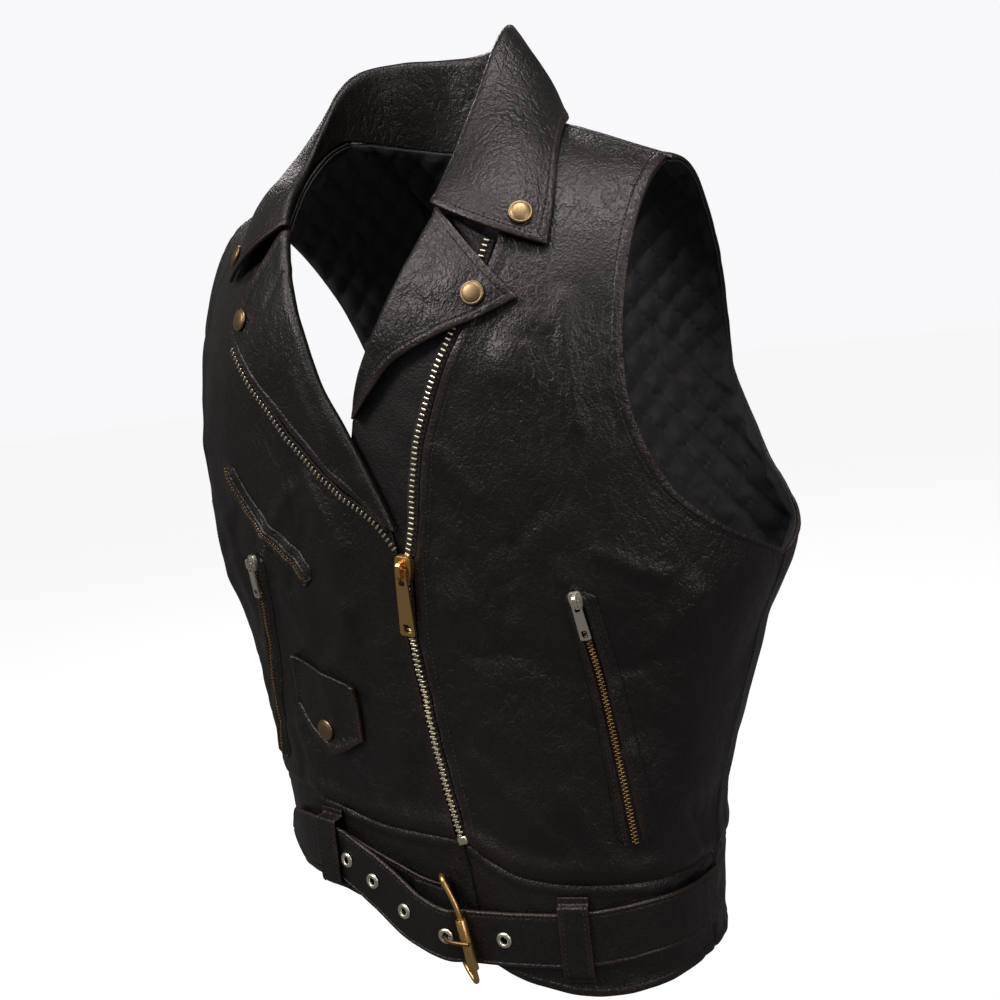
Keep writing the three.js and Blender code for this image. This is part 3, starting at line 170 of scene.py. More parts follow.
UNDERLAP_EDGE = [[6, -452], [0, -400], [-4, -330], [-8, -262], [-8, -215], [-1, -184]]
NECK_LEFT = [[100.5, -74], [91, -64], [78, -57], [69, -49], [65, -38], [65.5, -20], [67, -2]]
NECK_RIGHT = [[-62.5, -50], [-64.5, -35], [-65.8, -15], [-67, -2]]
NECK_BACK = [
    # half x, height
    [0, -16], [15, -15], [30, -12.5], [40, -10], [50, -7], [60, -3.5], [67, -0.5],
]
# Distances from those lines to the panels' edges, thickness and lifts of the layers, rows at the shoulder.
ZIP_REACH = 4.6
ROLL_ROOM = 4.6
LEFT_ROLL_ROOM = 4.2
LEATHER = 1.5
SEAM_GAP = 0.35
SIDE_SEAM = 0.03
LINING_OUT = -1.95
LINING_IN = -3.3
FACING_OUT = -2.25
FACING_IN = -3.6
FRONT_TOP = 0.8
BACK_TOP = -0.77


def table(rows, value):
    """Rows of a table at values of its rising first column, joined by a smooth curve."""
    rows = np.asarray(rows, float)
    value = np.asarray(value, float)
    last = len(rows) - 1
    i = np.searchsorted(rows[1:-1, 0], value, side="left")
    a, b, c, d = rows[np.maximum(i - 1, 0)], rows[i], rows[i + 1], rows[np.minimum(i + 2, last)]
    t = np.clip((value - b[..., 0]) / (c[..., 0] - b[..., 0]), 0, 1)[..., None]
    bend = (2 * a - 5 * b + 4 * c - d) * t * t
    twist = (3 * b - a - 3 * c + d) * t ** 3
    return 0.5 * (2 * b + (c - a) * t + bend + twist)


def run_lengths(points):
    """Length from the first point to each point of lines laid along the last but one axis."""
    steps = np.linalg.norm(np.diff(points, axis=-2), axis=-1)
    return np.concatenate([np.zeros(steps.shape[:-1] + (1,)), np.cumsum(steps, -1)], -1)


def along(points, share):
    """Points of a smooth line at shares of its length."""
    points = np.asarray(points, float)
    lengths = run_lengths(points)
    return table(np.column_stack([lengths / lengths[-1], points]), share)[..., 1:]


def moved(line, distance):
    """Line of x and height moved sideways, positive towards larger x on a rising line."""
    line = np.asarray(line, float)
    ahead = np.vstack([line[1:], line[-1:]])
    behind = np.vstack([line[:1], line[:-1]])
    run = ahead - behind
    run /= np.linalg.norm(run, axis=1)[:, None]
    return np.column_stack([line[:, 0] + distance * run[:, 1], line[:, 1] - distance * run[:, 0]])


def x_on(line, z):
    line = np.asarray(line, float)
    return table(line[:, ::-1], z)[..., 1]


def smooth(t):
    t = np.clip(t, 0, 1)
    return t * t * (3 - 2 * t)


def mix(a, b, t):
    return a + (b - a) * t


def unit(v):
    return v / np.maximum(np.linalg.norm(v, axis=-1, keepdims=True), 1e-9)


def bump(d, width, at=0):
    """1 at a distance, dying away smoothly over a width to both sides."""
    return np.exp(-((d - at) / width) ** 2)


def fade(d, reach):
    """1 at an edge, dying away over a reach."""
    return np.exp(-d / reach)


def side_width(z, side):
    """Half width of the form at a height, on the side of a sign."""
    row = table(SECTIONS, z)
    return np.where(side >= 0, row[..., 1], row[..., 2])


def x_at(angle, z):
    s = np.sin(np.radians(angle))
    return side_width(z, s) * np.sign(s) * np.abs(s) ** (2 / SQUARENESS)


def angle_at(x, z, back=False):
    x, z = np.broadcast_arrays(np.asarray(x, float), np.asarray(z, float))
    share = np.clip(np.abs(x) / side_width(z, x), 0, 1)
    angle = np.degrees(np.arcsin(share ** (SQUARENESS / 2)))
    return np.where(back, 180 - angle, angle) * np.where(x < 0, -1, 1)


def ridge(x):
    """Height of the shoulders' top line at x."""
    return -SHOULDER_SLOPE * (np.hypot(x, SHOULDER_SOFT) - math.hypot(NECK_HALF, SHOULDER_SOFT))


def form_point(angle, down):
    """Point of the form. Down squared is its drop from the shoulders' top line; a negative down is behind."""
    angle, down = np.broadcast_arrays(np.asarray(angle, float), np.asarray(down, float))
    turned = np.where(down < 0, 180 - angle, angle)
    drop = down * down
    z = np.full(angle.shape, float(UNDERARM))
    for _ in range(5):
        z = ridge(x_at(turned, z)) - drop
    row = table(SECTIONS, z)
    s, c = np.sin(np.radians(turned)), np.cos(np.radians(turned))
    flat = np.where(c >= 0, -row[..., 3], row[..., 4]) * np.abs(c) ** (2 / SQUARENESS)
    flat = flat + row[..., 5] * np.abs(s) ** (4 / SQUARENESS)
    arch = np.sqrt(1 - (1 - np.clip(drop / SHOULDER_ROUND, 0, 1)) ** 2)
    return np.stack([x_at(turned, z), RIDGE_Y + (flat - RIDGE_Y) * arch, z], -1)


def ridges(folds, x, z):
    """Height of straight soft folds at x and height."""
    total = np.zeros(np.shape(x))
    for x0, z0, x1, z1, wide, high in folds:
        run = np.array([x1 - x0, z1 - z0], float)
        length = np.hypot(*run)
        ahead = ((x - x0) * run[0] + (z - z0) * run[1]) / length
        aside = ((x - x0) * run[1] - (z - z0) * run[0]) / length
        past = np.maximum(0, np.maximum(-ahead, ahead - length))
        total = total + high * np.exp(-(past * past + aside * aside) / (wide * wide))
    return total


def waves(points, size, seed):
    """Smooth noise from -1 to 1 over points in millimetres."""
    flat = np.asarray(points, float).reshape(-1, 3) / size + seed
    out = np.fromiter((noise.noise(p) for p in flat.tolist()), float, len(flat))
    return out.reshape(np.shape(points)[:-1])


def form_normal(angle, down):
    a = form_point(angle + 1.2, down) - form_point(angle - 1.2, down)
    b = form_point(angle, down + 0.25) - form_point(angle, down - 0.25)
    return unit(np.cross(b, a))


# Places where hard pieces lie flat on the leather: x, height, reach.
CALM = [(24, -285, 26), (136, -305, 20), (-118, -286, 20)]


def slack(points):
    """How far the worn leather stands off the form: small folds, creases and soft unevenness."""
    x, z = points[..., 0], points[..., 2]
    on_front = smooth((-points[..., 1] - 5) / 30)
    low = smooth((-60 - z) / 80)
    uneven = (1.3 * waves(points, 52, 3.1) + 0.75 * waves(points, 21, 7.7)) * (0.35 + 0.65 * low)
    drawn = points * np.array([1.0, 1.0, 0.62])
    where = smooth((waves(points, 85, 9.4) + 0.12) / 0.4)
    long_crease = bump(waves(drawn, 46, 2.6), 0.085)
    short_crease = bump(waves(drawn, 23, 8.2), 0.12)
    creases = -(1.0 * long_crease + 0.55 * short_crease) * where * (0.4 + 0.6 * low)
    total = on_front * 1.25 * ridges(SMALL_FOLDS, x, z) + uneven + creases
    for cx, cz, reach in CALM:
        total = total * (1 - on_front * np.exp(-((x - cx) ** 2 + (z - cz) ** 2) / reach ** 2))
    return total


def lifted(angle, down, lift):
    """Point at a lift over the form, on the worn leather's folds."""
    point = form_point(angle, down)
    on_front = (np.cos(np.radians(angle)) > 0) & (np.asarray(down) > 0)
    folds = np.where(on_front, ridges(FOLDS, point[..., 0], point[..., 2]), 0)
    height = lift + folds + slack(point)
    return point + form_normal(angle, down) * np.asarray(height)[..., None]


def down_at(angle, z):
    """Depth that puts a point of the form at a height."""
    return np.sqrt(np.maximum(ridge(x_at(angle, z)) - z, 0))


def on_angle(angle, z, lift):
    return lifted(angle, down_at(angle, z), lift)


def on_front(x, z, lift):
    return on_angle(angle_at(x, z), z, lift)


def front_normal(x, z):
    angle = angle_at(x, z)
    return form_normal(angle, down_at(angle, z))


class Value:
    """Output of a shader node that takes part in plain arithmetic."""

    def __init__(self, tree, socket):
        self.tree, self.socket = tree, socket

    def math(self, operation, *others):
        node = self.tree.nodes.new("ShaderNodeMath")
        node.operation = operation
        for i, other in enumerate((self, *others)):
            if isinstance(other, Value):
                self.tree.links.new(other.socket, node.inputs[i])
            else:
                node.inputs[i].default_value = other
        return Value(self.tree, node.outputs[0])

    def __add__(self, other):
        return self.math("ADD", other)

    def __sub__(self, other):
        return self.math("SUBTRACT", other)

    def __mul__(self, other):
        return self.math("MULTIPLY", other)

    def __truediv__(self, other):
        return self.math("DIVIDE", other)

    def __pow__(self, other):
        return self.math("POWER", other)

    __radd__ = __add__
    __rmul__ = __mul__

    def __rsub__(self, other):
        return (self * -1) + other

    def held(self):
        """Kept between 0 and 1."""
        return self.math("MINIMUM", 1).math("MAXIMUM", 0)


class Look:
    """Material with its principled shader."""

    def __init__(self, name, **constants):
        self.material = bpy.data.materials.new(name)
        self.material.use_nodes = True
        self.tree = self.material.node_tree
        self.shader = self.tree.nodes["Principled BSDF"]
        for key, value in constants.items():
            self.shader.inputs[key.replace("_", " ")].default_value = value
        self.place = self.node("ShaderNodeTexCoord", "Object")

    def node(self, kind, output, settings=(), **inputs):
        node = self.tree.nodes.new(kind)
        for key, value in dict(settings).items():
            setattr(node, key, value)
        for key, value in inputs.items():
            socket = node.inputs[key.replace("_", " ")]
            if isinstance(value, Value):
                self.tree.links.new(value.socket, socket)
            else:
                socket.default_value = value
        return Value(self.tree, node.outputs[output])

    def noise(self, scale, detail=3, place=None, roughness=0.5):
        return self.node(
            "ShaderNodeTexNoise", "Fac", Vector=place or self.place, Scale=scale, Detail=detail,
            Roughness=roughness)

    def cells(self, scale, place=None):
        return self.node("ShaderNodeTexVoronoi", "Distance", Vector=place or self.place, Scale=scale)

    def creases(self, scale, place, width):
        """Thin lines, 1 along the middle of each, where smooth noise passes its mean."""
        off = (self.noise(scale, 2, place) - 0.5).math("ABSOLUTE")
        return 1 - (off / width).held() ** 0.8

    def warped(self, amount, scale):
        """Object coordinates pushed about by noise."""
        push = self.node("ShaderNodeTexNoise", "Color", Vector=self.place, Scale=scale, Detail=2)
        scaled = self.node("ShaderNodeVectorMath", 0, {"operation": "SCALE"}, Vector=push, Scale=amount)
        tree = self.tree
        add = tree.nodes.new("ShaderNodeVectorMath")
        add.operation = "ADD"
        tree.links.new(self.place.socket, add.inputs[0])
        tree.links.new(scaled.socket, add.inputs[1])
        return Value(tree, add.outputs[0])

    def attribute(self, name):
        return self.node("ShaderNodeAttribute", "Fac", {"attribute_name": name})

    def blend(self, a, b, share):
        node = self.tree.nodes.new("ShaderNodeMix")
        node.data_type = "RGBA"
        self.tree.links.new(share.socket, node.inputs[0])
        for index, colour in ((6, a), (7, b)):
            if isinstance(colour, Value):
                self.tree.links.new(colour.socket, node.inputs[index])
            else:
                node.inputs[index].default_value = (*colour, 1)
        return Value(self.tree, node.outputs[2])

    def feed(self, **values):
        for key, value in values.items():
            self.tree.links.new(value.socket, self.shader.inputs[key.replace("_", " ")])

    def relief(self, height, depth):
        """Bump of a height, in metres."""
        self.feed(Normal=self.node("ShaderNodeBump", "Normal", Height=height, Distance=depth, Strength=1.0))


def leather_look(name, dark, light, rub, gloss, wrinkle):
    """Worn leather: pebbled grain, fine creases in patches, brown where it has rubbed."""
    look = Look(name, Specular_IOR_Level=0.5)
    worn = look.attribute("wear_and_painted_light").held()
    broad = look.noise(9, 3)
    patch = look.noise(34, 4)
    tone = look.blend(dark, light, (broad * 1.5 - 0.3).held())
    rubbed = (worn * (patch * 1.8 - 0.35).held() + (look.noise(70, 6) - 0.66).held() * 1.1).held()
    pebble = look.cells(640, look.warped(0.004, 90))
    pebble_fine = look.cells(1250)
    drawn = look.node("ShaderNodeMapping", 0, Vector=look.warped(0.012, 24), Scale=(1.0, 1.0, 0.55))
    fine = look.creases(150, drawn, 0.07)
    long_creases = look.creases(52, drawn, 0.05)
    amount = (look.noise(13, 2) * 2.4 - 0.75).held()
    height = pebble * 0.4 + pebble_fine * 0.16 + look.noise(260, 3) * 0.4
    height = height - fine * (amount * 0.6 + 0.18) * wrinkle - long_creases * amount * 0.9 * wrinkle
    look.feed(
        Base_Color=look.blend(tone, rub, rubbed),
        Roughness=(gloss + patch * 0.22 + fine * 0.08 - worn * 0.06).held())
    look.relief(height, 0.00048)
    return look.material


def cloth_look(name, dark, light, rough, weave):
    """Woven or quilted cloth, darker where its attribute is 0. On the quilted lining that attribute is the
    puff, so the colour is painted light: a painted sheen on the puffs and painted shade in the stitched
    hollows.
    """
    look = Look(name, Sheen_Weight=0.1, Sheen_Roughness=0.5)
    painted_puff_light = look.attribute("wear_and_painted_light").held()
    threads = look.node(
        "ShaderNodeTexWave", "Fac", {"wave_type": "BANDS", "bands_direction": "DIAGONAL"}, Vector=look.place,
        Scale=weave, Distortion=2.0, Detail=2.0)
    rumple = look.noise(130, 4)
    look.feed(
        # Painted light in the base colour: lighter on the lining's puffs as a painted sheen, darker in the
        # stitched hollows as painted shade.
        Base_Color=look.blend(dark, light, (painted_puff_light * (rumple * 0.7 + threads * 0.3)).held()),
        Roughness=(rough + rumple * 0.2).held())
    look.relief(threads * 0.25 + rumple * 1.2, 0.0006)
    return look.material


def metal_look(name, bright, dull, rough):
    """Plated metal, duller and rougher in patches, with fine scratches."""
    look = Look(name, Metallic=1.0)
    patch = look.noise(160, 5, roughness=0.6)
    scratch = look.noise(900, 2, look.warped(0.002, 300))
    share = ((patch - 0.4) * 2.2).held() * 0.7
    look.feed(
        Base_Color=look.blend(bright, dull, share),
        Roughness=(rough + share * 0.3 + scratch * 0.1).held())
    look.relief(patch * 0.6 + scratch * 0.4, 0.00005)
    return look.material


LOOKS = {
    "leather": leather_look(
        "aged_leather", (0.0035, 0.0027, 0.0024), (0.0085, 0.0064, 0.0054), (0.042, 0.022, 0.014), 0.3, 0.8),
    "facing": leather_look(
        "facing_leather", (0.003, 0.0026, 0.0024), (0.007, 0.006, 0.0055), (0.02, 0.012, 0.008), 0.42, 0.6),
    # Quilted lining: its light colour is a painted sheen on the puffs, and its dark colour is painted shade
    # in the stitched hollows.
    "lining": cloth_look("quilted_lining", (0.0007, 0.0007, 0.0009), (0.0075, 0.0075, 0.0098), 0.52, 900),
    "tape": cloth_look("zip_tape", (0.004, 0.0026, 0.0016), (0.016, 0.0095, 0.005), 0.75, 1100),
    "thread": cloth_look("black_thread", (0.003, 0.0028, 0.0026), (0.01, 0.009, 0.008), 0.55, 2500),
    "pale_brass": metal_look("pale_brass_teeth", (0.95, 0.88, 0.66), (0.5, 0.42, 0.26), 0.27),
    "brass": metal_look("golden_brass", (0.78, 0.49, 0.19), (0.42, 0.23, 0.08), 0.27),
    "antique": metal_look("antique_brass", (0.34, 0.24, 0.13), (0.14, 0.09, 0.045), 0.32),
    "dark_brass": metal_look("dark_brass", (0.3, 0.19, 0.075), (0.1, 0.062, 0.026), 0.34),
    "silver": metal_look("aged_nickel", (0.92, 0.9, 0.78), (0.5, 0.48, 0.36), 0.27),
}


# Surfaces: grids of points with an outer and an inner side.
def spaced(length, first, last, count):
    """Distances along lines: marks near both ends and even steps between, one row for each length."""
    length = np.atleast_1d(np.asarray(length, float))
    near = max(first[-1], last[-1], 0.001)
    fit = np.minimum(1, 0.4 * length / near)[:, None]
    start = np.asarray(first, float) * fit
    end = length[:, None] - np.asarray(last, float)[::-1] * fit
    share = np.linspace(0, 1, count + 2)[1:-1]
    middle = start[:, -1:] + (end[:, :1] - start[:, -1:]) * share
    return np.concatenate([start, middle, end], 1)


def marked(marks, span, count):
    """Marks near both ends of a span and even steps between."""
    marks = np.asarray(marks, float)
    return np.concatenate([marks, np.linspace(marks[-1], span - marks[-1], count)[1:-1], span - marks[::-1]])


def picked(values, lengths, places):
    """Values carried by one line at distances along it."""
    return np.stack([np.interp(places, lengths, column) for column in values.T], 1)


def at_lengths(lines, values, places):
    """Values carried by lines at distances along them."""
    lengths = run_lengths(lines)
    out = np.empty(places.shape + values.shape[2:])
    for i in range(len(lines)):
        for k in np.ndindex(values.shape[2:]):
            out[(i, slice(None)) + k] = np.interp(places[i], lengths[i], values[(i, slice(None)) + k])
    return out


def grid_normals(points):
    across = np.gradient(points, axis=1)
    upward = np.gradient(points, axis=0)
    return unit(np.cross(across, upward))


def rounded(d, radius=0.7):
    """How far a cut edge drops at a distance from it."""
    near = np.clip(radius - d, 0, radius)
    return radius - np.sqrt(radius * radius - near * near)


def turned_edge(d, stitch, rise=0.6):
    """Lift of a folded and topstitched edge at a distance from it."""
    band = rise * (1 - smooth((d - stitch - 0.2) / 1.6))
    band = band + 0.4 * bump(d, stitch * 0.4, stitch * 0.5)
    return band - 0.5 * bump(d, 0.55, stitch) - rounded(d)


def plain_seam(d):
    """Lift of a panel beside a seam to its neighbour."""
    return 0.5 * bump(d, 2.2, 3.2) - 0.9 * bump(d, 1.3)


# Distances from an edge at which a grid has rows or columns. SEWN is the topstitched one of both hems, and
# SEWN_FAR is the same one counted from the grid's other end.
MARKS = {
    "hem": [0, 0.12, 0.35, 0.7, 1.4, 2.6, 3.8, 4.7, 5.1, 5.5, 5.9, 6.4, 7.4, 9],
    "wide_hem": [0, 0.12, 0.35, 0.7, 1.5, 3, 4.8, 6.2, 6.8, 7.2, 7.6, 8.2, 9.4, 11],
    "seam": [0, 0.4, 0.9, 1.6, 2.6, 3.8, 5.2, 7],
    "cut": [0, 0.12, 0.35, 0.7, 1.4],
}
SEWN, SEWN_FAR = 9, -10
HEM_STITCH, WIDE_STITCH = 5.5, 7.2


def new_mesh(name, points, faces, uv=None, wear_and_painted_light=None):
    """Mesh object in metres from points in millimetres."""
    mesh = bpy.data.meshes.new(name)
    mesh.from_pydata((points * 0.001).tolist(), [], faces)
    if uv is not None:
        corner = np.empty(len(mesh.loops), np.int32)
        mesh.loops.foreach_get("vertex_index", corner)
        layer = mesh.uv_layers.new(name="cloth")
        layer.data.foreach_set("uv", (uv[corner] * 0.001).ravel())
    if wear_and_painted_light is not None:
        # Attribute for real wear on leather and, on the quilted lining, the puff that drives its painted
        # sheen and painted shade.
        layer = mesh.attributes.new("wear_and_painted_light", "FLOAT", "POINT")
        layer.data.foreach_set("value", np.ascontiguousarray(wear_and_painted_light, float).ravel())
    mesh.update()
    mesh.shade_smooth()
    piece = bpy.data.objects.new(name, mesh)
    bpy.context.collection.objects.link(piece)
    return piece


def wall_faces(rows, columns):
    size = rows * columns
    index = np.arange(size).reshape(rows, columns)
    a, b, c, d = index[:-1, :-1], index[:-1, 1:], index[1:, 1:], index[1:, :-1]
    outer = np.stack([a, b, c, d], -1).reshape(-1, 4)
    inner = np.stack([a, d, c, b], -1).reshape(-1, 4) + size
    ring = np.concatenate([index[0, :-1], index[:-1, -1], index[-1, :0:-1], index[:0:-1, 0]])
    after = np.roll(ring, -1)
    rim = np.stack([after, ring, ring + size, after + size], -1)
    return np.concatenate([outer, inner, rim])


class Panel:
    """A sheet of leather or cloth: its outer grid, normals, area and size."""

    def __init__(self, name, outer, inner, wear_and_painted_light=None):
        rows, columns = outer.shape[:2]
        self.outer = outer
        points = np.concatenate([outer.reshape(-1, 3), inner.reshape(-1, 3)])
        faces = wall_faces(rows, columns)
        centre = points.mean(0)
        corners = points[faces[:, :3]] - centre
        volume = np.einsum("ij,ij->i", corners[:, 0], np.cross(corners[:, 1], corners[:, 2])).sum()
        if volume < 0:
            faces = faces[:, ::-1]
        self.normals = grid_normals(outer)
        across, upward = run_lengths(outer), run_lengths(outer.swapaxes(0, 1)).T
        uv = np.stack([across, np.broadcast_to(upward.mean(1)[:, None], across.shape)], -1).reshape(-1, 2)
        wear_and_painted_light = np.zeros((rows, columns)) if wear_and_painted_light is None else wear_and_painted_light
        wear_and_painted_light = np.concatenate([wear_and_painted_light.ravel(), wear_and_painted_light.ravel() * 0])
        self.piece = new_mesh(name, points, faces.tolist(), np.vstack([uv, uv]), wear_and_painted_light)
        if np.einsum("ijk,ijk->ij", self.normals, outer - inner).mean() < 0:
            self.normals = -self.normals
        middle = (outer + inner) / 2
        cells = np.cross(middle[1:, 1:] - middle[:-1, :-1], middle[1:, :-1] - middle[:-1, 1:])
        self.area = float(np.linalg.norm(cells, axis=-1).sum() / 2)
        self.size = [float(run_lengths(way)[:, -1].max()) for way in (middle, middle.swapaxes(0, 1))]

    def nearest(self, target):
        """Point of the outer side nearest to a target, and the way it faces."""
        away = np.linalg.norm(self.outer - np.asarray(target, float), axis=-1)
        i, j = np.unravel_index(away.argmin(), away.shape)
        lo_i, lo_j = max(i - 3, 0), max(j - 3, 0)
        near = self.outer[lo_i:i + 4, lo_j:j + 4].reshape(-1, 3)
        facing = unit(self.normals[lo_i:i + 4, lo_j:j + 4].reshape(-1, 3).mean(0))
        return self.outer[i, j] + facing * max(((near - self.outer[i, j]) @ facing).max(), 0) * 0.5, facing


PANELS = {}
STITCHES = []


def make(name, outer, inner, look, nodes, wear_and_painted_light=None):
    panel = Panel(name, outer, inner, wear_and_painted_light)
    PANELS[name] = panel
    panel.piece.data.materials.append(LOOKS[look])
    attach(panel.piece, GARMENT)
    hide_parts(*nodes)
    return panel


def stitch_line(panel, where):
    """Keeps part of a row or column of a panel's grid for topstitching."""
    if len(panel.outer[where]) > 2:
        STITCHES.append((panel.outer[where], panel.normals[where]))


# Shells: fronts, back and their linings, from the waistband seam to the shoulders.
HIGH_CROWD = 1.25


def level(rows, angle):
    """Height in a table of angles round the body."""
    return table(rows, np.where(angle > 180, angle - 360, angle))[..., 1]


def front_end(angle):
    return np.full(np.shape(angle), FRONT_TOP)


def back_end(angle):
    x = np.abs(form_point(angle, 0)[..., 0])
    inside = np.sqrt(np.maximum(ridge(x) - table(NECK_BACK, np.minimum(x, NECK_HALF))[..., 1], 0))
    return np.where(x >= NECK_HALF, BACK_TOP, inside)


def row_down(angle, place, end):
    """Depth of a row at an angle: place 0 to 1 up to the underarm, 1 to 2 up to the end."""
    low = down_at(angle, mix(level(BAND_TOP, angle) + SEAM_GAP, UNDERARM, np.minimum(place, 1)))
    high = mix(down_at(angle, UNDERARM), end(angle), np.maximum(place - 1, 0) ** HIGH_CROWD)
    return np.where(place <= 1, low, high)


def edge_angle(edge, place, end):
    angle = edge(np.full(place.shape, float(UNDERARM)))
    for _ in range(9):
        angle = edge(form_point(angle, row_down(angle, place, end))[..., 2])
    return angle


def arm(rows, z, inset):
    """Angle of the side seam and, above it, of the armhole."""
    return np.where(z <= UNDERARM, 90 - inset, np.minimum(90 - inset, table(rows, z)[..., 1]))


LEFT_LINE = np.vstack([moved(ZIP_CLOSED, ZIP_REACH), moved(ZIP_LEFT, ZIP_REACH)[:-2], NECK_LEFT])
RIGHT_LINE = np.vstack([moved(ZIP_CLOSED, -ZIP_REACH)[:-1], moved(ROLL_RIGHT, -ROLL_ROOM), NECK_RIGHT])
SHELLS = {
    "left": (
        lambda z: angle_at(x_on(LEFT_LINE, z), z), lambda z: arm(ARM_FRONT, z, SIDE_SEAM), front_end),
    "right": (
        lambda z: angle_at(x_on(RIGHT_LINE, z), z), lambda z: -arm(ARM_FRONT, z, SIDE_SEAM), front_end),
    "back": (
        lambda z: 180 - arm(ARM_BACK, z, SIDE_SEAM), lambda z: 180 + arm(ARM_BACK, z, SIDE_SEAM), back_end),
}


def shell_rows(low, high):
    """Places of a shell's rows: near its foot, up to the underarm and up to the shoulder."""
    foot = np.array(MARKS["seam"]) / 180
    return np.concatenate([foot, np.linspace(foot[-1], 1, low)[1:], np.linspace(1, 2, high)[1:]])


def shell_grid(which, places, first, last, count, cut=None):
    """Angles, depths and edge distances of a shell's grid."""
    edge_a, edge_b, end = SHELLS[which]
    a, b = edge_angle(edge_a, places, end), edge_angle(edge_b, places, end)
    if cut is not None:
        a, b = mix(a, b, cut[0]), mix(a, b, cut[1])
    angle = mix(a[:, None], b[:, None], np.linspace(0, 1, 90))
    line = form_point(angle, row_down(angle, places[:, None], end))
    length = run_lengths(line)[:, -1]
    reach = spaced(length, first, last, count)
    angle = at_lengths(line, angle, reach)
    down = row_down(angle, places[:, None], end)
    point = form_point(angle, down)
    upward = run_lengths(point.swapaxes(0, 1)).T
    return {
        "angle": angle, "down": down, "point": point, "start": reach, "end": length[:, None] - reach,
        "low": upward, "high": upward[-1] - upward,
    }


def armhole_row(places):
    return int(np.searchsorted(places, 1.01))


def blouse(low):
    """Leather standing out over the waistband seam and tucking in under it."""
    return 2.1 * bump(low, 7.5, 9) - 1.1 * bump(low, 2.2)


def make_shell(name, g, lift, wear_and_painted_light):
    outer = lifted(g["angle"], g["down"], lift)
    inner = lifted(g["angle"], g["down"], -LEATHER)
    return make(f"{name}_leather", outer, inner, "leather", [name], wear_and_painted_light=wear_and_painted_light)


def front_shell(which, zip_stitch):
    """Front from its opening edge, start, to the side seam and armhole, end."""
    places = shell_rows(84, 130)
    g = shell_grid(which, places, MARKS["wide_hem"], MARKS["wide_hem"], 84)
    above = smooth((places - 1) * 60)[:, None]
    lift = blouse(g["low"]) + plain_seam(g["high"])
    lift = lift + above * turned_edge(g["end"], WIDE_STITCH) + (1 - above) * plain_seam(g["end"])
    lift = lift + (turned_edge(g["start"], WIDE_STITCH) if zip_stitch else -rounded(g["start"]))
    wear_and_painted_light = fade(g["start"], 2.2) * 0.9 + above * fade(g["end"], 2.2) * 0.8
    panel = make_shell(f"front_{which}", g, lift, wear_and_painted_light + fade(g["low"], 5) * 0.3)
    stitch_line(panel, np.s_[armhole_row(places):, SEWN_FAR])
    if zip_stitch:
        stitch_line(panel, np.s_[:, SEWN])


def back_shell():
    places = shell_rows(72, 120)
    g = shell_grid("back", places, MARKS["wide_hem"], MARKS["wide_hem"], 150)
    above = smooth((places - 1) * 60)[:, None]
    side = np.minimum(g["start"], g["end"])
    lift = blouse(g["low"]) + above * turned_edge(side, WIDE_STITCH) + (1 - above) * plain_seam(side)
    wear_and_painted_light = above * fade(side, 2.2) * 0.8 + fade(g["low"], 5) * 0.3
    panel = make_shell("back", g, lift + plain_seam(g["high"]), wear_and_painted_light)
    for column in (SEWN, SEWN_FAR):
        stitch_line(panel, np.s_[armhole_row(places):, column])


QUILT = 27


def side_lap(g, which):
    """Angle by which a front lining laps under the back's at the side seam."""
    if which == "back":
        return 0
    below = 1 - smooth((g["point"][..., 2] - UNDERARM + 6) / 6)
    return {"left": 1, "right": -1}[which] * 0.9 * below * bump(g["end"], 4)


def quilted(which, cut, count, nodes):
    """Lining with sewn diamonds that puff towards the wearer."""
    places = np.concatenate([np.linspace(0, 1, 72), np.linspace(1, 2.003, 104)[1:]])
    g = shell_grid(which, places, MARKS["cut"], MARKS["cut"], count, cut)
    u, v = g["point"][..., 0] + g["point"][..., 1] * 0.7, g["point"][..., 2]
    warp = 3 * waves(g["point"], 34, 12.5)
    a, b = (u + v + warp) / QUILT, (u - v - warp) / QUILT
    puff = (np.abs(np.sin(math.pi * a)) * np.abs(np.sin(math.pi * b))) ** 0.42
    edge = smooth(np.minimum(np.minimum(g["start"], g["end"]), g["high"]) / 6)
    rough = 0.5 * waves(g["point"], 9, 4.4) * (1 - puff)
    angle = g["angle"] + side_lap(g, which)
    outer = lifted(angle, g["down"], LINING_OUT)
    inner = lifted(angle, g["down"], LINING_IN - edge * (4.2 * puff + rough))
    # The puff goes on as the attribute the lining's colour reads: painted sheen on the puffs, painted shade
    # in the stitched hollows.
    make(f"lining_{which}_quilted", inner, outer, "lining", nodes, wear_and_painted_light=puff)


def leaf(name, middle, d, half, nodes, rise, towards):
    """Two-sided leather leaf round a middle grid, with its distances from the free edges."""
    normals = grid_normals(middle)
    if np.einsum("ijk,ijk->ij", normals, np.broadcast_to(towards, normals.shape)).mean() < 0:
        normals = -normals
    detail = turned_edge(d, HEM_STITCH, rise)
    uneven = 0.25 * waves(middle, 15, 21.3) + 0.35 * waves(middle, 38, 5.9)
    outer = middle + normals * (half + detail + uneven)[..., None]
    inner = middle - normals * (half - rounded(d, half * 0.8) - uneven)[..., None]
    return make(name, outer, inner, "leather", nodes, wear_and_painted_light=fade(d, 2.2))


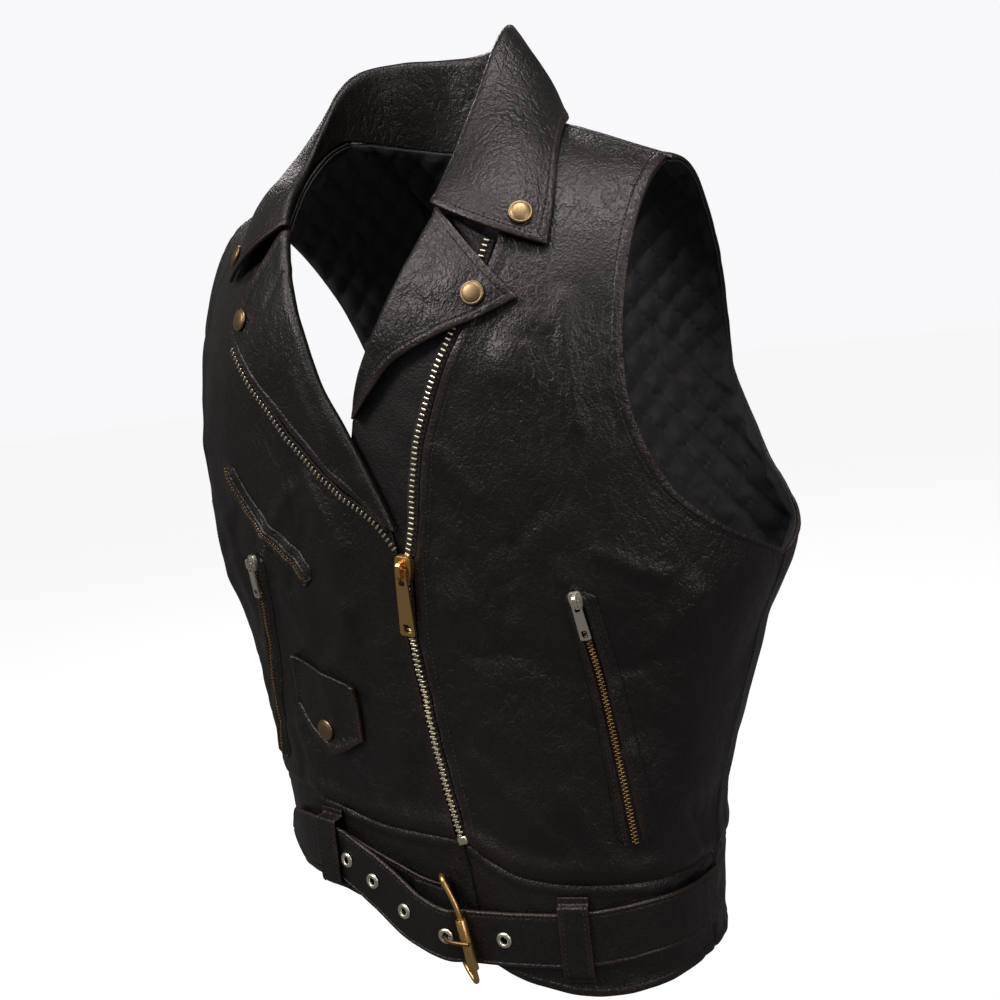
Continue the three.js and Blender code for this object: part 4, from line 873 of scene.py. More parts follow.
def lapel(name, roll, edge, low, turn, rest, nodes):
    """Lapel: half a turn round the roll line, then a leaf that comes to rest on the front."""
    rows, flat_steps, turns = 110, 60, 14
    end_marks = np.array(MARKS["hem"]) / 120
    share = np.concatenate([np.linspace(0, 1 - end_marks[-1], rows), 1 - end_marks[-2::-1]])
    start, end = along(roll, share), along(edge, share)
    width = np.linalg.norm(end - start, axis=1)
    way = (end - start) / width[:, None]
    radius = turn(share)[:, None]
    phi = np.linspace(0, math.pi, turns)
    flat = np.linspace(0, 1, flat_steps)[1:]
    turned_reach = radius - radius * np.sin(phi)
    turned_lift = low + radius - radius * np.cos(phi)
    flat_reach = mix(radius, width[:, None], flat)
    reach = np.concatenate([turned_reach, flat_reach], 1)
    x = start[:, :1] + way[:, :1] * reach
    z = start[:, 1:] + way[:, 1:] * reach
    rest_lift = mix(low + 2 * radius, rest(x[:, turns:]), smooth(flat))
    lift = np.concatenate([turned_lift, rest_lift], 1)
    line = on_front(x, z, lift)
    length = run_lengths(line)[:, -1]
    places = spaced(length, [0, 1, 2, 3, 4, 5, 6, 7.5, 9, 11], MARKS["hem"], 26)
    middle = at_lengths(line, line, places)
    top = run_lengths(middle.swapaxes(0, 1)).T
    d = np.minimum(length[:, None] - places, np.maximum(top[-1] - top, 0))
    away = front_normal(x[:, -1:], z[:, -1:]).mean((0, 1))
    panel = leaf(name, middle, d, 0.9, nodes, 0.35, away)
    stitch_line(panel, np.s_[6:SEWN_FAR, SEWN_FAR])
    stitch_line(panel, np.s_[SEWN_FAR, 14:SEWN_FAR])


# Collar from one front tip round the back of the neck to the other.
COLLAR = [
    # base x, base z, base on the back, fold x, fold y, fold z, edge x, edge y, edge z
    [-61, -59, 0, -57, -93.5, -55, -119, -80, -88],
    [-66.5, -42, 0, -62, -77, -36.5, -116, -62, -68],
    [-68.5, -25, 0, -67, -52, -17, -110, -40, -44],
    [-69.5, -11, 0, -70, -27, 8, -105, -13, -20],
    [-69.5, -1.5, 0, -70, -2, 34, -99, 12, -8],
    [-60, -5.5, 1, -64, 20, 47, -87, 36, -3],
    [-44, -11, 1, -48, 43, 51, -65, 62, -5],
    [-24, -15, 1, -26, 62, 50, -36, 79, -9],
    [0, -17.5, 1, 0, 69, 49, 0, 87, -11],
    [24, -15, 1, 26, 62, 51, 36, 79, -9],
    [44, -11, 1, 47, 42, 55, 66, 62, -5],
    [60, -5.5, 1, 58, 18, 56, 88, 36, -3],
    [69.5, -1.5, 0, 63, -4, 42, 100, 12, -8],
    [69.5, -11, 0, 64, -27, 16, 109, -12, -19],
    [68.5, -25, 0, 64, -52, -11, 119, -40, -44],
    [66.5, -42, 0, 63, -74, -35, 127, -62, -66],
    [65, -58, 0, 61, -92, -55, 131, -82, -86],
]
COLLAR_WALL = {"half": 1.1, "turn": 3.4, "bulge": 6, "off": 2.0}


def outness(p):
    """1 on the body form, more outside it and less inside."""
    row = table(SECTIONS, p[..., 2])
    across = np.clip(np.abs(p[..., 0]) / np.where(p[..., 0] >= 0, row[..., 1], row[..., 2]), 0, 0.999)
    squared = (1 - across ** SQUARENESS) ** (1 / SQUARENESS)
    flat = np.where(p[..., 1] < RIDGE_Y, -row[..., 3], row[..., 4]) * squared + row[..., 5] * across * across
    high = np.maximum(1 - (ridge(p[..., 0]) - p[..., 2]) / SHOULDER_ROUND, 0)
    return np.hypot((p[..., 1] - RIDGE_Y) / (flat - RIDGE_Y), high)


def set_off(points, distance, may_stay):
    """Moves points along the form's slope to a distance over it; points further off may stay."""
    p = np.array(points, float)
    staying = np.zeros(p.shape[:-1], bool)
    for _ in range(9):
        slope = np.stack([outness(p + 0.5 * e) - outness(p - 0.5 * e) for e in np.eye(3)], -1)
        size = np.linalg.norm(slope, axis=-1)
        over = (outness(p) - 1) / size
        if may_stay:
            staying |= over >= distance
        p = np.where(staying[..., None], p, p + slope / size[..., None] * (distance - over)[..., None])
    return p


def collar():
    """Collar's middle surface: up the stand, round the fold and down the fall."""
    rows = np.asarray(COLLAR, float)
    angle = angle_at(rows[:, 0], rows[:, 1], rows[:, 2] == 1)
    base = on_angle(angle, rows[:, 1], COLLAR_WALL["off"] - 0.2)
    edge = set_off(rows[:, 6:9], COLLAR_WALL["off"] + 0.2, False)
    lines = np.column_stack([np.arange(len(rows)), base, rows[:, 3:6], edge])
    row = table(lines, marked(np.array(MARKS["hem"]) / 26, len(rows) - 1, 170))
    base, fold, edge = row[:, 1:4], row[:, 4:7], row[:, 7:10]
    to_base, to_edge = unit(base - fold), unit(edge - fold)
    opening = np.arccos(np.clip((to_base * to_edge).sum(1), -1, 1))[:, None]
    inward = unit(to_base + to_edge)
    outward = unit(to_edge - inward * (to_edge * inward).sum(1)[:, None])
    centre = fold + inward * COLLAR_WALL["turn"]
    half = opening / 2
    stand_side = -inward * np.sin(half) - outward * np.cos(half)
    fall_side = -inward * np.sin(half) + outward * np.cos(half)
    stand_top = centre + stand_side * COLLAR_WALL["turn"]
    fall_top = centre + fall_side * COLLAR_WALL["turn"]
    steps = []
    for share in np.linspace(0, 1, 16)[:-1]:
        steps.append(mix(base, stand_top, share))
    reach = math.pi / 2 - half
    for share in np.linspace(0, 1, 12):
        phi = mix(-reach, reach, share)
        steps.append(centre + (outward * np.sin(phi) - inward * np.cos(phi)) * COLLAR_WALL["turn"])
    for share in np.linspace(0, 1, 40)[1:]:
        p = mix(fall_top, edge, share) + fall_side * COLLAR_WALL["bulge"] * 4 * share * (1 - share)
        steps.append(set_off(p, COLLAR_WALL["off"], True))
    line = np.stack(steps, 1)
    length = run_lengths(line)[:, -1]
    places = spaced(length, [0, 1, 2, 3], MARKS["hem"], 44)
    middle = at_lengths(line, line, places)
    side = run_lengths(middle.swapaxes(0, 1)).T
    d = np.minimum(np.minimum(length[:, None] - places, side), side[-1] - side)
    away = middle[:, -1:] - middle[:, -1:].mean(0)
    panel = leaf("collar_leather", middle, d, COLLAR_WALL["half"], ["collar"], 0.4, unit(away))
    stitch_line(panel, np.s_[SEWN:-SEWN, SEWN_FAR])
    for tip in (SEWN, SEWN_FAR):
        stitch_line(panel, np.s_[tip, 16:SEWN_FAR])


# Waistband, over the hem. Its top edge reaches a little way up behind the shells.
BAND_SPLIT = [[45, -545], [41, -500], [36.5, -455]]
BAND_OUT = {"left": 0, "right": -0.9, "back": 0}
BAND_IN = -3.4
BAND_RISE = 0.9
BAND_LAP = 0.05
BAND_HIGH = 70


def split_at(side):
    """Edge of a front part of the waistband: its gap is in line with the zip."""
    return lambda z: angle_at(x_on(BAND_SPLIT, np.clip(z, -545, -455)) + side * 0.45, z)


def side_at(angle):
    return lambda z: np.full(z.shape, angle)


def waistband(which, edge_a, edge_b, count):
    up = marked(np.array(MARKS["hem"]) / BAND_HIGH, 1, 20)[:, None]
    share = np.linspace(0, 1, count)[None, :]
    angle, z = np.zeros((len(up), count)), np.full((len(up), count), float(UNDERARM))
    for _ in range(9):
        angle = mix(edge_a(z), edge_b(z), share)
        z = mix(level(HEM, angle), level(BAND_TOP, angle) + BAND_RISE, up)
    lift = np.full(z.shape, float(BAND_OUT[which]))
    line = on_angle(angle, z, 0)
    side, rise = run_lengths(line), run_lengths(line.swapaxes(0, 1)).T
    low, high = rise, rise[-1] - rise
    lift = lift + turned_edge(low, HEM_STITCH, 0.5) - 1.2 * bump(high, 1.6)
    lift = lift + 0.5 * bump(high, 3, 5) - 0.5 * bump(high, 0.6, 9)
    far_side = side[:, -1:] - side
    free = {"left": side, "right": far_side, "back": side * 0 + 9}[which]
    seam = {"left": far_side, "right": side, "back": np.minimum(side, far_side)}[which]
    lift = lift - rounded(np.abs(free)) - 0.9 * bump(seam, 1.3) + 0.5 * waves(line, 12, 31.7)
    outer, inner = on_angle(angle, z, lift), on_angle(angle, z, BAND_IN)
    wear_and_painted_light = fade(low, 2) * 0.9
    panel = make(f"waistband_{which}_leather", outer, inner, "leather", [f"waistband_{which}"], wear_and_painted_light=wear_and_painted_light)
    stitch_line(panel, SEWN)


# Belt: tongue from the left side seam to its pointed end, strap that holds the buckle, and two loops.
# Half width and half thickness of each.
TONGUE_SIZE, STRAP_SIZE, LOOP_SIZE = (18.5, 1.4), (13.0, 0.9), (10.0, 0.75)
TONGUE = [
    # x, height, lift of the middle
    [-138, -483.5, 2.1], [-120, -479, 2.3], [-100, -476, 3.2], [-87, -476, 3.7], [-75, -478, 4],
    [-60, -483, 4.6], [-45, -489.5, 5.4], [-30, -498, 6.5], [-17, -506, 8], [-5, -512, 9.9],
    [8, -516, 11.2], [18, -518, 11.4], [24, -519, 10.9], [29, -519.3, 8.9], [34, -519.5, 6.4],
    [44, -520, 4.1], [60, -519.5, 2.7], [80, -518.5, 2.2], [101, -518, 2.1], [125, -516, 2.1],
    [145, -514, 2.1], [158, -515, 2.1], [163.5, -516.5, 2.1],
]
EYELET_X = [-62, -39, -12, 22.3, 61]
EYELET_HOLE = 2.9
EYELET_SEATS = []
STRAP = [
    # x, height, lift of the middle
    [-92, -476, 0.6], [-75, -477, 0.6], [-58, -480, 0.6], [-40, -486, 0.6], [-20, -493, 0.6],
    [0, -499, 0.9], [12, -501, 1.2],
]
HINGE = {"top": (18.5, -480), "bottom": (28.5, -541), "lift": 4.6, "radius": 1.8}
OUTER_BAR = {"top": (33.4, -498), "bottom": (42, -550), "lift": 12}
ROLLER_ENDS = (-539.5, -505.5)
PRONG_Z = -519.0


def line_on(rows, steps):
    """Points and normals at even steps of a line laid on the fronts."""
    row = table(rows, np.linspace(rows[0][0], rows[-1][0], 400))
    points = on_front(row[:, 0], row[:, 1], row[:, 2])
    normals = front_normal(row[:, 0], row[:, 1])
    lengths = run_lengths(points)
    places = np.linspace(0, lengths[-1], steps)
    return picked(points, lengths, places), unit(picked(normals, lengths, places))


def frames_of(points, normals):
    """Ways across and up at each point of a strap."""
    way = unit(np.gradient(points, axis=0))
    across = unit(np.cross(way, normals))
    return across, np.cross(across, way)


def ribbon(name, points, across, up, width, half, nodes):
    """Strap with rounded edges along points, topstitched 3 mm from them."""
    marks = [0, 0.15, 0.4, 0.8, 1.5, 2.2, 2.6, 3, 3.4, 3.9, 4.8]
    reach = spaced(2 * width, marks, marks, 8)
    middle = points[:, None] + across[:, None] * (reach - width[:, None])[..., None]
    end = run_lengths(points)
    side = np.minimum(reach, 2 * width[:, None] - reach)
    d = np.minimum(side, np.minimum(end, end[-1] - end)[:, None] + 0.2)
    crown = 0.3 * bump(side, 1, 1.6) + 0.22 * waves(middle, 11, 40.2)
    groove = 0.42 * bump(side, 0.5, 3.0)
    outer = middle + up[:, None] * (half + crown - groove - rounded(d, half * 0.8))[..., None]
    inner = middle - up[:, None] * (half - rounded(d, half * 0.8))[..., None]
    panel = make(name, outer, inner, "leather", nodes, wear_and_painted_light=fade(d, 1.4))
    for column in (7, -8):
        stitch_line(panel, np.s_[4:-4, column])
    return panel


def belt_tongue():
    points, normals = line_on(TONGUE, 330)
    share = np.linspace(0, 1, len(points))
    across, up = frames_of(points, normals)
    width = TONGUE_SIZE[0] * np.clip(0.12 + share / 0.065, 0.12, 1)
    width = width - 1.2 * smooth(1 - share / 0.08) * smooth((share - 0.05) / 0.02)
    panel = ribbon("belt_tongue_leather", points, across, up, width, TONGUE_SIZE[1], ["belt_tongue"])
    for i, x in enumerate(EYELET_X):
        k = int(np.abs(points[:, 0] - x).argmin())
        centre = points[k]
        cutter = begin("primitive_cylinder_add", vertices=32, radius=EYELET_HOLE / 1000, depth=0.02)
        cutter.matrix_world = place_matrix(centre, up[k], 1)
        use_modifier(panel.piece, "BOOLEAN", operation="DIFFERENCE", object=cutter, solver="EXACT")
        bpy.data.objects.remove(cutter)
        EYELET_SEATS.append((centre + up[k] * 1.75, up[k], i + 1))


def belt_strap():
    """Strap that turns back round the buckle's inner bar."""
    points = line_on(STRAP, 70)[0]
    middle = STRAP[-1]
    share = (middle[1] - HINGE["top"][1]) / (HINGE["bottom"][1] - HINGE["top"][1])
    bar_x = mix(HINGE["top"][0], HINGE["bottom"][0], share)
    phi = np.radians(np.linspace(-90, 90, 24))
    back = np.linspace(0, 1, 12)[1:]
    x = np.concatenate([bar_x + 3.2 * np.cos(phi), bar_x - 26 * back])
    lift = np.concatenate([4.6 + 3.2 * np.sin(phi), mix(7.8, 3.4, smooth(back))])
    z = np.full(x.shape, float(middle[1]))
    turned = on_front(x, z, lift)
    path = np.concatenate([points, turned])
    way = unit(np.gradient(path, axis=0))
    (top_x, top_z), (bottom_x, bottom_z) = HINGE["top"], HINGE["bottom"]
    bar_way = unit(np.array([bottom_x - top_x, 0, bottom_z - top_z], float))
    lean = smooth((np.arange(len(path)) - len(points) / 2) / (len(points) / 2))[:, None]
    across = unit(mix(np.array([0, 0, -1.0]), bar_way, lean))
    up = unit(np.cross(across, way))
    width = np.full(len(path), STRAP_SIZE[0])
    ribbon("belt_strap_leather", path, across, up, width, STRAP_SIZE[1], ["belt_strap"])


LOOP_PROFILE = [
    # height over the tongue's middle line, share of the full lift
    [28.5, 0], [24.8, 0], [23.4, 0.25], [22.7, 0.75], [20.6, 1], [0, 1], [-20.6, 1], [-22.7, 0.75],
    [-23.4, 0.25], [-24.8, 0], [-28.5, 0],
]


def belt_loop(which, x, middle, low, high):
    """Loop over the tongue, upright at one x."""
    profile = along(LOOP_PROFILE, np.linspace(0, 1, 90))
    x, z = np.full(90, float(x)), middle + profile[:, 0]
    width = np.full(90, LOOP_SIZE[0])
    points = on_front(x, z, mix(low, high, np.clip(profile[:, 1], 0, 1.04)))
    across, up = frames_of(points, front_normal(x, z))
    ribbon(f"belt_loop_{which}_leather", points, across, up, width, LOOP_SIZE[1], [f"belt_loop_{which}"])


def strip(fine, offsets):
    """x and height over a band beside a line: a row for each of its points, a column for each offset."""
    sides = np.stack([moved(fine, d) for d in offsets], 1)
    return sides[..., 0], sides[..., 1]


def tape(name, line, half, lift, nodes):
    x, z = strip(along(line, np.linspace(0, 1, 120)), np.linspace(-half, half, 9))
    make(name, on_front(x, z, lift + 0.4), on_front(x, z, lift - 0.4), "tape", nodes)


# Pocket zips that lie on the fronts, rising lines of x and height.
HAND_LEFT = [[143.5, -457], [142, -412], [139.5, -360], [136.5, -321], [133.5, -291]]
HAND_RIGHT = [[-134, -425], [-128, -385], [-121, -335], [-117, -300], [-116.5, -272]]
BREAST = [[-62, -287], [-72, -275], [-88, -262], [-107, -247], [-122, -229], [-132, -211]]


def welt(name, line, side, near, far, height, nodes):
    """Raised lip beside a pocket zip, rolled towards the zip and dying into the front."""
    reach = np.array([0, 0.12, 0.35, 0.7, 1.2, 2, 2.9, 3.3, 3.7, 4.4, 5.5, 7, 9])
    reach = reach * (far - near) / 9
    place = marked([0, 0.002, 0.006, 0.012, 0.02], 1, 110)
    fine = along(line, place)
    end = np.minimum(place, 1 - place)[:, None] * float(run_lengths(fine)[-1])
    taper = smooth(end / 7)
    x, z = strip(fine, side * (near * mix(0.5, 1, taper) + reach * mix(0.55, 1, taper)).T)
    share = reach / (far - near)
    profile = height * (1 - smooth(share) ** 1.3) + 0.35 * bump(share, 0.15, 0.2)
    d = np.minimum(reach[None, :], end)
    lift = 0.35 + profile * mix(0.3, 1, taper) - rounded(d, 0.6) - 0.5 * bump(reach, 0.4, reach[7])
    outer, inner = on_front(x, z, np.maximum(lift, 0.2)), on_front(x, z, np.full(x.shape, 0.08))
    panel = make(name, outer, inner, "leather", nodes, wear_and_painted_light=fade(d, 1.2) * 0.9)
    stitch_line(panel, np.s_[4:-4, 7])


def coin_flap():
    top = np.array([[-95, -341], [-36, -358]], float)
    low = np.array([[-98, -377], [-67, -407], [-34, -395]], float)
    length, height = 62, 45
    columns = spaced([length], MARKS["hem"], MARKS["hem"], 20)[0] / length
    upper = top[0] + (top[1] - top[0]) * columns[:, None]
    point = along(low, columns)
    rows = 1 - spaced([height], [0, 1, 2, 3], MARKS["hem"], 20)[0] / height
    x = mix(point[:, 0], upper[:, 0], rows[:, None])
    z = mix(point[:, 1], upper[:, 1], rows[:, None])
    down = (rows * height)[:, None]
    side = np.minimum(columns, 1 - columns)[None, :] * length
    d = np.minimum(down, side)
    lift = 2.4 + turned_edge(d, HEM_STITCH, 0.4) + 1.2 * bump(d, 5) + 0.8 * rows[:, None] ** 4
    outer = on_front(x, z, lift)
    inner = on_front(x, z, np.full(x.shape, 0.7))
    panel = make("coin_flap_leather", outer, inner, "leather", ["coin_pocket_flap"], wear_and_painted_light=fade(d, 2))
    for column in (SEWN, SEWN_FAR):
        stitch_line(panel, np.s_[3:SEWN_FAR, column])
    stitch_line(panel, np.s_[SEWN_FAR, SEWN:-SEWN])


# Hard pieces are shaped in millimetres and then placed in metres.
def place_matrix(at, up, scale=0.001, along_way=None):
    z = Vector(up).normalized()
    x = Vector(along_way) if along_way is not None else Vector((1, 0, 0.2))
    y = z.cross(x).normalized()
    x = y.cross(z)
    turn = Matrix((x, y, z)).transposed().to_4x4()
    return Matrix.Translation(Vector(at) * 0.001) @ turn @ Matrix.Scale(scale, 4)


def begin(kind, **sizes):
    """New mesh primitive, the only selected object."""
    if bpy.context.object is not None and bpy.context.object.mode != "OBJECT":
        bpy.ops.object.mode_set(mode="OBJECT")
    bpy.ops.object.select_all(action="DESELECT")
    getattr(bpy.ops.mesh, kind)(**sizes)
    return bpy.context.object


def turned_piece(name, profile, steps):
    """Piece turned round Z from a profile of radius, height that is drawn point by point."""
    piece = begin("primitive_plane_add", size=1)
    piece.name = name
    bpy.ops.object.mode_set(mode="EDIT")
    bpy.ops.mesh.select_all(action="SELECT")
    bpy.ops.mesh.merge(type="CENTER")
    bpy.ops.transform.translate(value=(profile[0][0], 0, profile[0][1]))
    for (r0, h0), (r1, h1) in zip(profile, profile[1:]):
        bpy.ops.mesh.extrude_vertices_move(TRANSFORM_OT_translate={"value": (r1 - r0, 0, h1 - h0)})
    bpy.ops.mesh.select_all(action="SELECT")
    bpy.ops.mesh.spin(steps=steps, angle=2 * math.pi, center=(0, 0, 0), axis=(0, 0, 1))
    bpy.ops.mesh.select_all(action="SELECT")
    bpy.ops.mesh.remove_doubles(threshold=0.002)
    bpy.ops.mesh.normals_make_consistent(inside=False)
    bpy.ops.object.mode_set(mode="OBJECT")
    return piece


def use_modifier(piece, kind, **settings):
    modifier = piece.modifiers.new(kind.lower(), kind)
    for key, value in settings.items():
        setattr(modifier, key, value)
    bpy.context.view_layer.objects.active = piece
    bpy.ops.object.modifier_apply(modifier=modifier.name)


def choose(piece):
    """Makes a piece the only selected and the active object."""
    bpy.ops.object.select_all(action="DESELECT")
    piece.select_set(True)
    bpy.context.view_layer.objects.active = piece


def settle(piece, matrix, look, nodes):
    """Puts a hard piece in its place, in its mesh, with its finish and body."""
    piece.data.transform(matrix)
    choose(piece)
    bpy.ops.object.shade_smooth_by_angle(angle=math.radians(40))
    piece.data.materials.clear()
    piece.data.materials.append(LOOKS[look])
    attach(piece, GARMENT)
    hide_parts(*nodes)


# Profiles of radius and height.
SNAP_PROFILE = [
    (0, 2.75), (2.6, 2.7), (4.6, 2.45), (5.7, 2.05), (6.0, 1.85), (6.3, 1.95), (6.9, 1.85), (7.3, 1.4),
    (7.4, 0.8), (7.2, 0.3), (6.8, 0), (0, 0),
]
EYELET_PROFILE = [
    (2.5, -0.9), (2.5, 0.5), (2.8, 1.0), (3.5, 1.35), (4.4, 1.2), (5.1, 0.7), (5.4, 0.1), (5.2, -0.05),
    (3.2, -0.05), (3.0, -0.9), (2.5, -0.9),
]


def snap(name, panel, target, look):
    at, facing = PANELS[panel].nearest(target)
    piece = turned_piece(f"{name}_cap", SNAP_PROFILE, 48)
    use_modifier(piece, "BEVEL", width=0.15, segments=2, limit_method="ANGLE")
    settle(piece, place_matrix(at + facing * 0.1, facing), look, [name])


def eyelets():
    for at, up, number in EYELET_SEATS:
        piece = turned_piece(f"eyelet_{number}_ring", EYELET_PROFILE, 40)
        settle(piece, place_matrix(at, up), "silver", [f"eyelet_{number}"])


def wire(name, points, radius, closed, look, nodes):
    """Round wire along points in millimetres, with round ends."""
    curve = bpy.data.curves.new(name, "CURVE")
    curve.dimensions = "3D"
    curve.bevel_depth = radius
    curve.bevel_resolution = 6
    curve.use_fill_caps = True
    spline = curve.splines.new("POLY")
    spline.points.add(len(points) - 1)
    for point, at in zip(spline.points, points):
        point.co = (*at, 1)
    spline.use_cyclic_u = closed
    piece = bpy.data.objects.new(name, curve)
    bpy.context.collection.objects.link(piece)
    choose(piece)
    bpy.ops.object.convert(target="MESH")
    piece = bpy.context.object
    if not closed:
        use_modifier(piece, "BEVEL", width=radius * 0.6, segments=3, limit_method="ANGLE")
    settle(piece, Matrix.Scale(0.001, 4), look, nodes)


def bar_spot(bar, share):
    """Point on one of the buckle's bars."""
    x = mix(bar["top"][0], bar["bottom"][0], share)
    z = mix(bar["top"][1], bar["bottom"][1], share)
    return form_only(x, z, bar["lift"])


def form_only(x, z, lift):
    """Point over the plain form, where the hard pieces stand."""
    angle = angle_at(x, z)
    down = down_at(angle, z)
    point = form_point(angle, down)
    height = lift + ridges(FOLDS, point[..., 0], point[..., 2])
    return point + form_normal(angle, down) * np.asarray(height)[..., None]


def buckle():
    corners = [
        bar_spot(OUTER_BAR, 0), bar_spot(OUTER_BAR, 1), bar_spot(HINGE, 1), bar_spot(HINGE, 0),
        form_only(22.5, -480.5, 9.4),
    ]
    loop = []
    for i, corner in enumerate(corners):
        reach = 6 if i < 3 else 2.4
        before = corner + unit(corners[i - 1] - corner) * reach
        after = corner + unit(corners[(i + 1) % 5] - corner) * reach
        t = np.linspace(0, 1, 10)[:, None]
        loop.append((1 - t) ** 2 * before + 2 * t * (1 - t) * corner + t * t * after)
    wire("buckle_wire", np.concatenate(loop), HINGE["radius"], True, "brass", ["buckle_frame"])
    length = OUTER_BAR["bottom"][1] - OUTER_BAR["top"][1]
    start, end = (bar_spot(OUTER_BAR, (z - OUTER_BAR["top"][1]) / length) for z in ROLLER_ENDS)
    long = float(np.linalg.norm(end - start))
    profile = [
        (2.15, 0.3), (2.5, 0), (3.3, 0), (3.5, 0.25), (3.5, long - 0.25), (3.3, long), (2.5, long),
        (2.15, long - 0.3), (2.15, 0.3)]
    piece = turned_piece("buckle_roller_tube", profile, 40)
    settle(piece, place_matrix(start, end - start), "brass", ["buckle_roller"])
    share = (PRONG_Z - HINGE["top"][1]) / (HINGE["bottom"][1] - HINGE["top"][1])
    bar_x = mix(HINGE["top"][0], HINGE["bottom"][0], share)
    phi = np.radians(np.linspace(-40, -215, 18))
    x = np.concatenate([bar_x + 3.45 * np.cos(phi), bar_x + np.array([-2.6, -2.2, 1, 8, 17.5])])
    lift = np.concatenate([4.6 + 3.45 * np.sin(phi), [11, 14.4, 17.2, 18.3, 17.6]])
    fine = along(np.column_stack([x, lift]), np.linspace(0, 1, 60))
    path = form_only(fine[:, 0], np.full(60, PRONG_Z), fine[:, 1])
    wire("buckle_prong_wire", path, 1.35, False, "dark_brass", ["buckle_prong"])


# Zip teeth and stitches: one is shaped, then copied along lines into one piece for each row.
ZIPS = {
    # finish, pitch, size of a tooth
    "main": ("pale_brass", 3.5, (3.5, 2.0, 1.25)),
    "pocket": ("dark_brass", 2.5, (2.7, 1.3, 0.95)),
}
END_BOX = (7.2, 5.6, 2.6)
STITCH_PITCH = 3.3
STITCH_SKIP = 3.0
STITCH_SIZE = (1.35, 0.42, 0.36)


def tooth(across, thick, deep):
    """Small bevelled box."""
    piece = begin("primitive_cube_add", size=1)
    bpy.ops.transform.resize(value=(across, deep, thick))
    bpy.ops.object.transform_apply(location=False, rotation=False, scale=True)
    bpy.ops.object.mode_set(mode="EDIT")
    bpy.ops.mesh.select_all(action="SELECT")
    bpy.ops.mesh.bevel(offset=min(across, deep, thick) * 0.24, segments=1, affect="EDGES")
    bpy.ops.object.mode_set(mode="OBJECT")
    return piece


def copies(name, master, origins, x_axes, z_axes):
    """One mesh holding a copy of a master at each place."""
    source = master.data
    points = np.empty(len(source.vertices) * 3)
    source.vertices.foreach_get("co", points)
    points = points.reshape(-1, 3)
    faces = [tuple(p.vertices) for p in source.polygons]
    bpy.data.objects.remove(master)
    z_axes = unit(z_axes)
    y_axes = unit(np.cross(z_axes, x_axes))
    x_axes = np.cross(y_axes, z_axes)
    bases = np.stack([x_axes, y_axes, z_axes], 1)
    placed = np.einsum("pk,nkc->npc", points, bases) + origins[:, None]
    count = len(points)
    all_faces = [tuple(v + i * count for v in face) for i in range(len(origins)) for face in faces]
    return new_mesh(name, placed.reshape(-1, 3), all_faces)


def teeth(name, zip_kind, line, offset, lift, nodes, last=1.0, phase=0.0):
    """Row of single teeth beside a line, up to a share of its length."""
    look, pitch, size = ZIPS[zip_kind]
    fine = moved(along(line, np.linspace(0, last, 500)), offset)
    points = on_front(fine[:, 0], fine[:, 1], lift)
    normals = front_normal(fine[:, 0], fine[:, 1])
    lengths = run_lengths(points)
    places = np.arange(pitch * (0.5 + phase), lengths[-1], pitch)
    way = unit(np.gradient(points, axis=0))
    origins, up, ahead = (picked(values, lengths, places) for values in (points, normals, way))
    piece = copies(name, tooth(*size), origins, np.cross(ahead, up), up)
    piece.data.materials.append(LOOKS[look])
    piece.data.shade_flat()
    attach(piece, GARMENT)
    if nodes:
        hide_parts(*nodes)


def zip_end(line):
    """Metal box at the lower end of the main zip."""
    at, ahead = on_front(*line[0], 1.3), on_front(*line[1], 1.3)
    piece = tooth(*END_BOX)
    piece.name = "front_zip_end_box"
    way = unit(ahead - at)
    across = np.cross(way, front_normal(*line[0]))
    settle(piece, place_matrix(at, way, along_way=across), "pale_brass", [])


def sew():
    """Topstitching on every kept line."""
    piece = begin("primitive_uv_sphere_add", segments=6, ring_count=5, radius=1)
    bpy.ops.transform.resize(value=STITCH_SIZE)
    bpy.ops.object.transform_apply(location=False, rotation=False, scale=True)
    origins, ways, ups = [], [], []
    for points, normals in STITCHES:
        lengths = run_lengths(points)
        places = np.arange(STITCH_SKIP, lengths[-1] - STITCH_SKIP, STITCH_PITCH)
        facing = picked(normals, lengths, places)
        origins.append(picked(points, lengths, places) + facing * 0.12)
        ways.append(picked(unit(np.gradient(points, axis=0)), lengths, places))
        ups.append(unit(facing))
    sewn = copies("topstitching", piece, np.concatenate(origins), np.concatenate(ways), np.concatenate(ups))
    sewn.data.materials.append(LOOKS["thread"])
    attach(sewn, GARMENT)


front_shell("left", True)
front_shell("right", False)
back_shell()
quilted("left", (0, 1), 62, ["lining_front_left"])
quilted("right", (0.375, 1), 44, ["lining_front_right"])
quilted("back", (0, 1), 128, ["lining_back"])


def facing_right():
    places = np.linspace(1.0, 2, 110)
    g = shell_grid("right", places, MARKS["cut"], MARKS["cut"], 20, (0, 0.36))
    keep = g["point"][:, 0, 2] > -188
    angle, down = g["angle"][keep], g["down"][keep]
    make(
        "facing_right_leather", lifted(angle, down, FACING_OUT), lifted(angle, down, FACING_IN), "facing",
        ["facing_right"])


def underlap():
    """Extension of the left front behind the zip, down to the waistband."""
    foot = -459
    inner_edge = np.vstack([[[5, foot]], UNDERLAP_EDGE, [[1.5, -178]], moved(ROLL_LEFT, LEFT_ROLL_ROOM)[1:]])
    outer_edge = np.vstack([[[42.5, foot]], moved(ZIP_CLOSED, ZIP_REACH), moved(ZIP_LEFT, ZIP_REACH)[:-1]])
    share = np.linspace(0, 1, 150)
    a, b = along(inner_edge, share), along(outer_edge, share)
    across = np.linspace(0, 1, 22)
    x = mix(a[:, :1], b[:, :1], across)
    z = mix(a[:, 1:], b[:, 1:], across)
    wave = 0.5 * np.sin(z / 17 + x / 9)
    make(
        "underlap_leather", on_front(x, z, FACING_OUT + wave * 0.4), on_front(x, z, FACING_IN), "facing",
        ["underlap"])


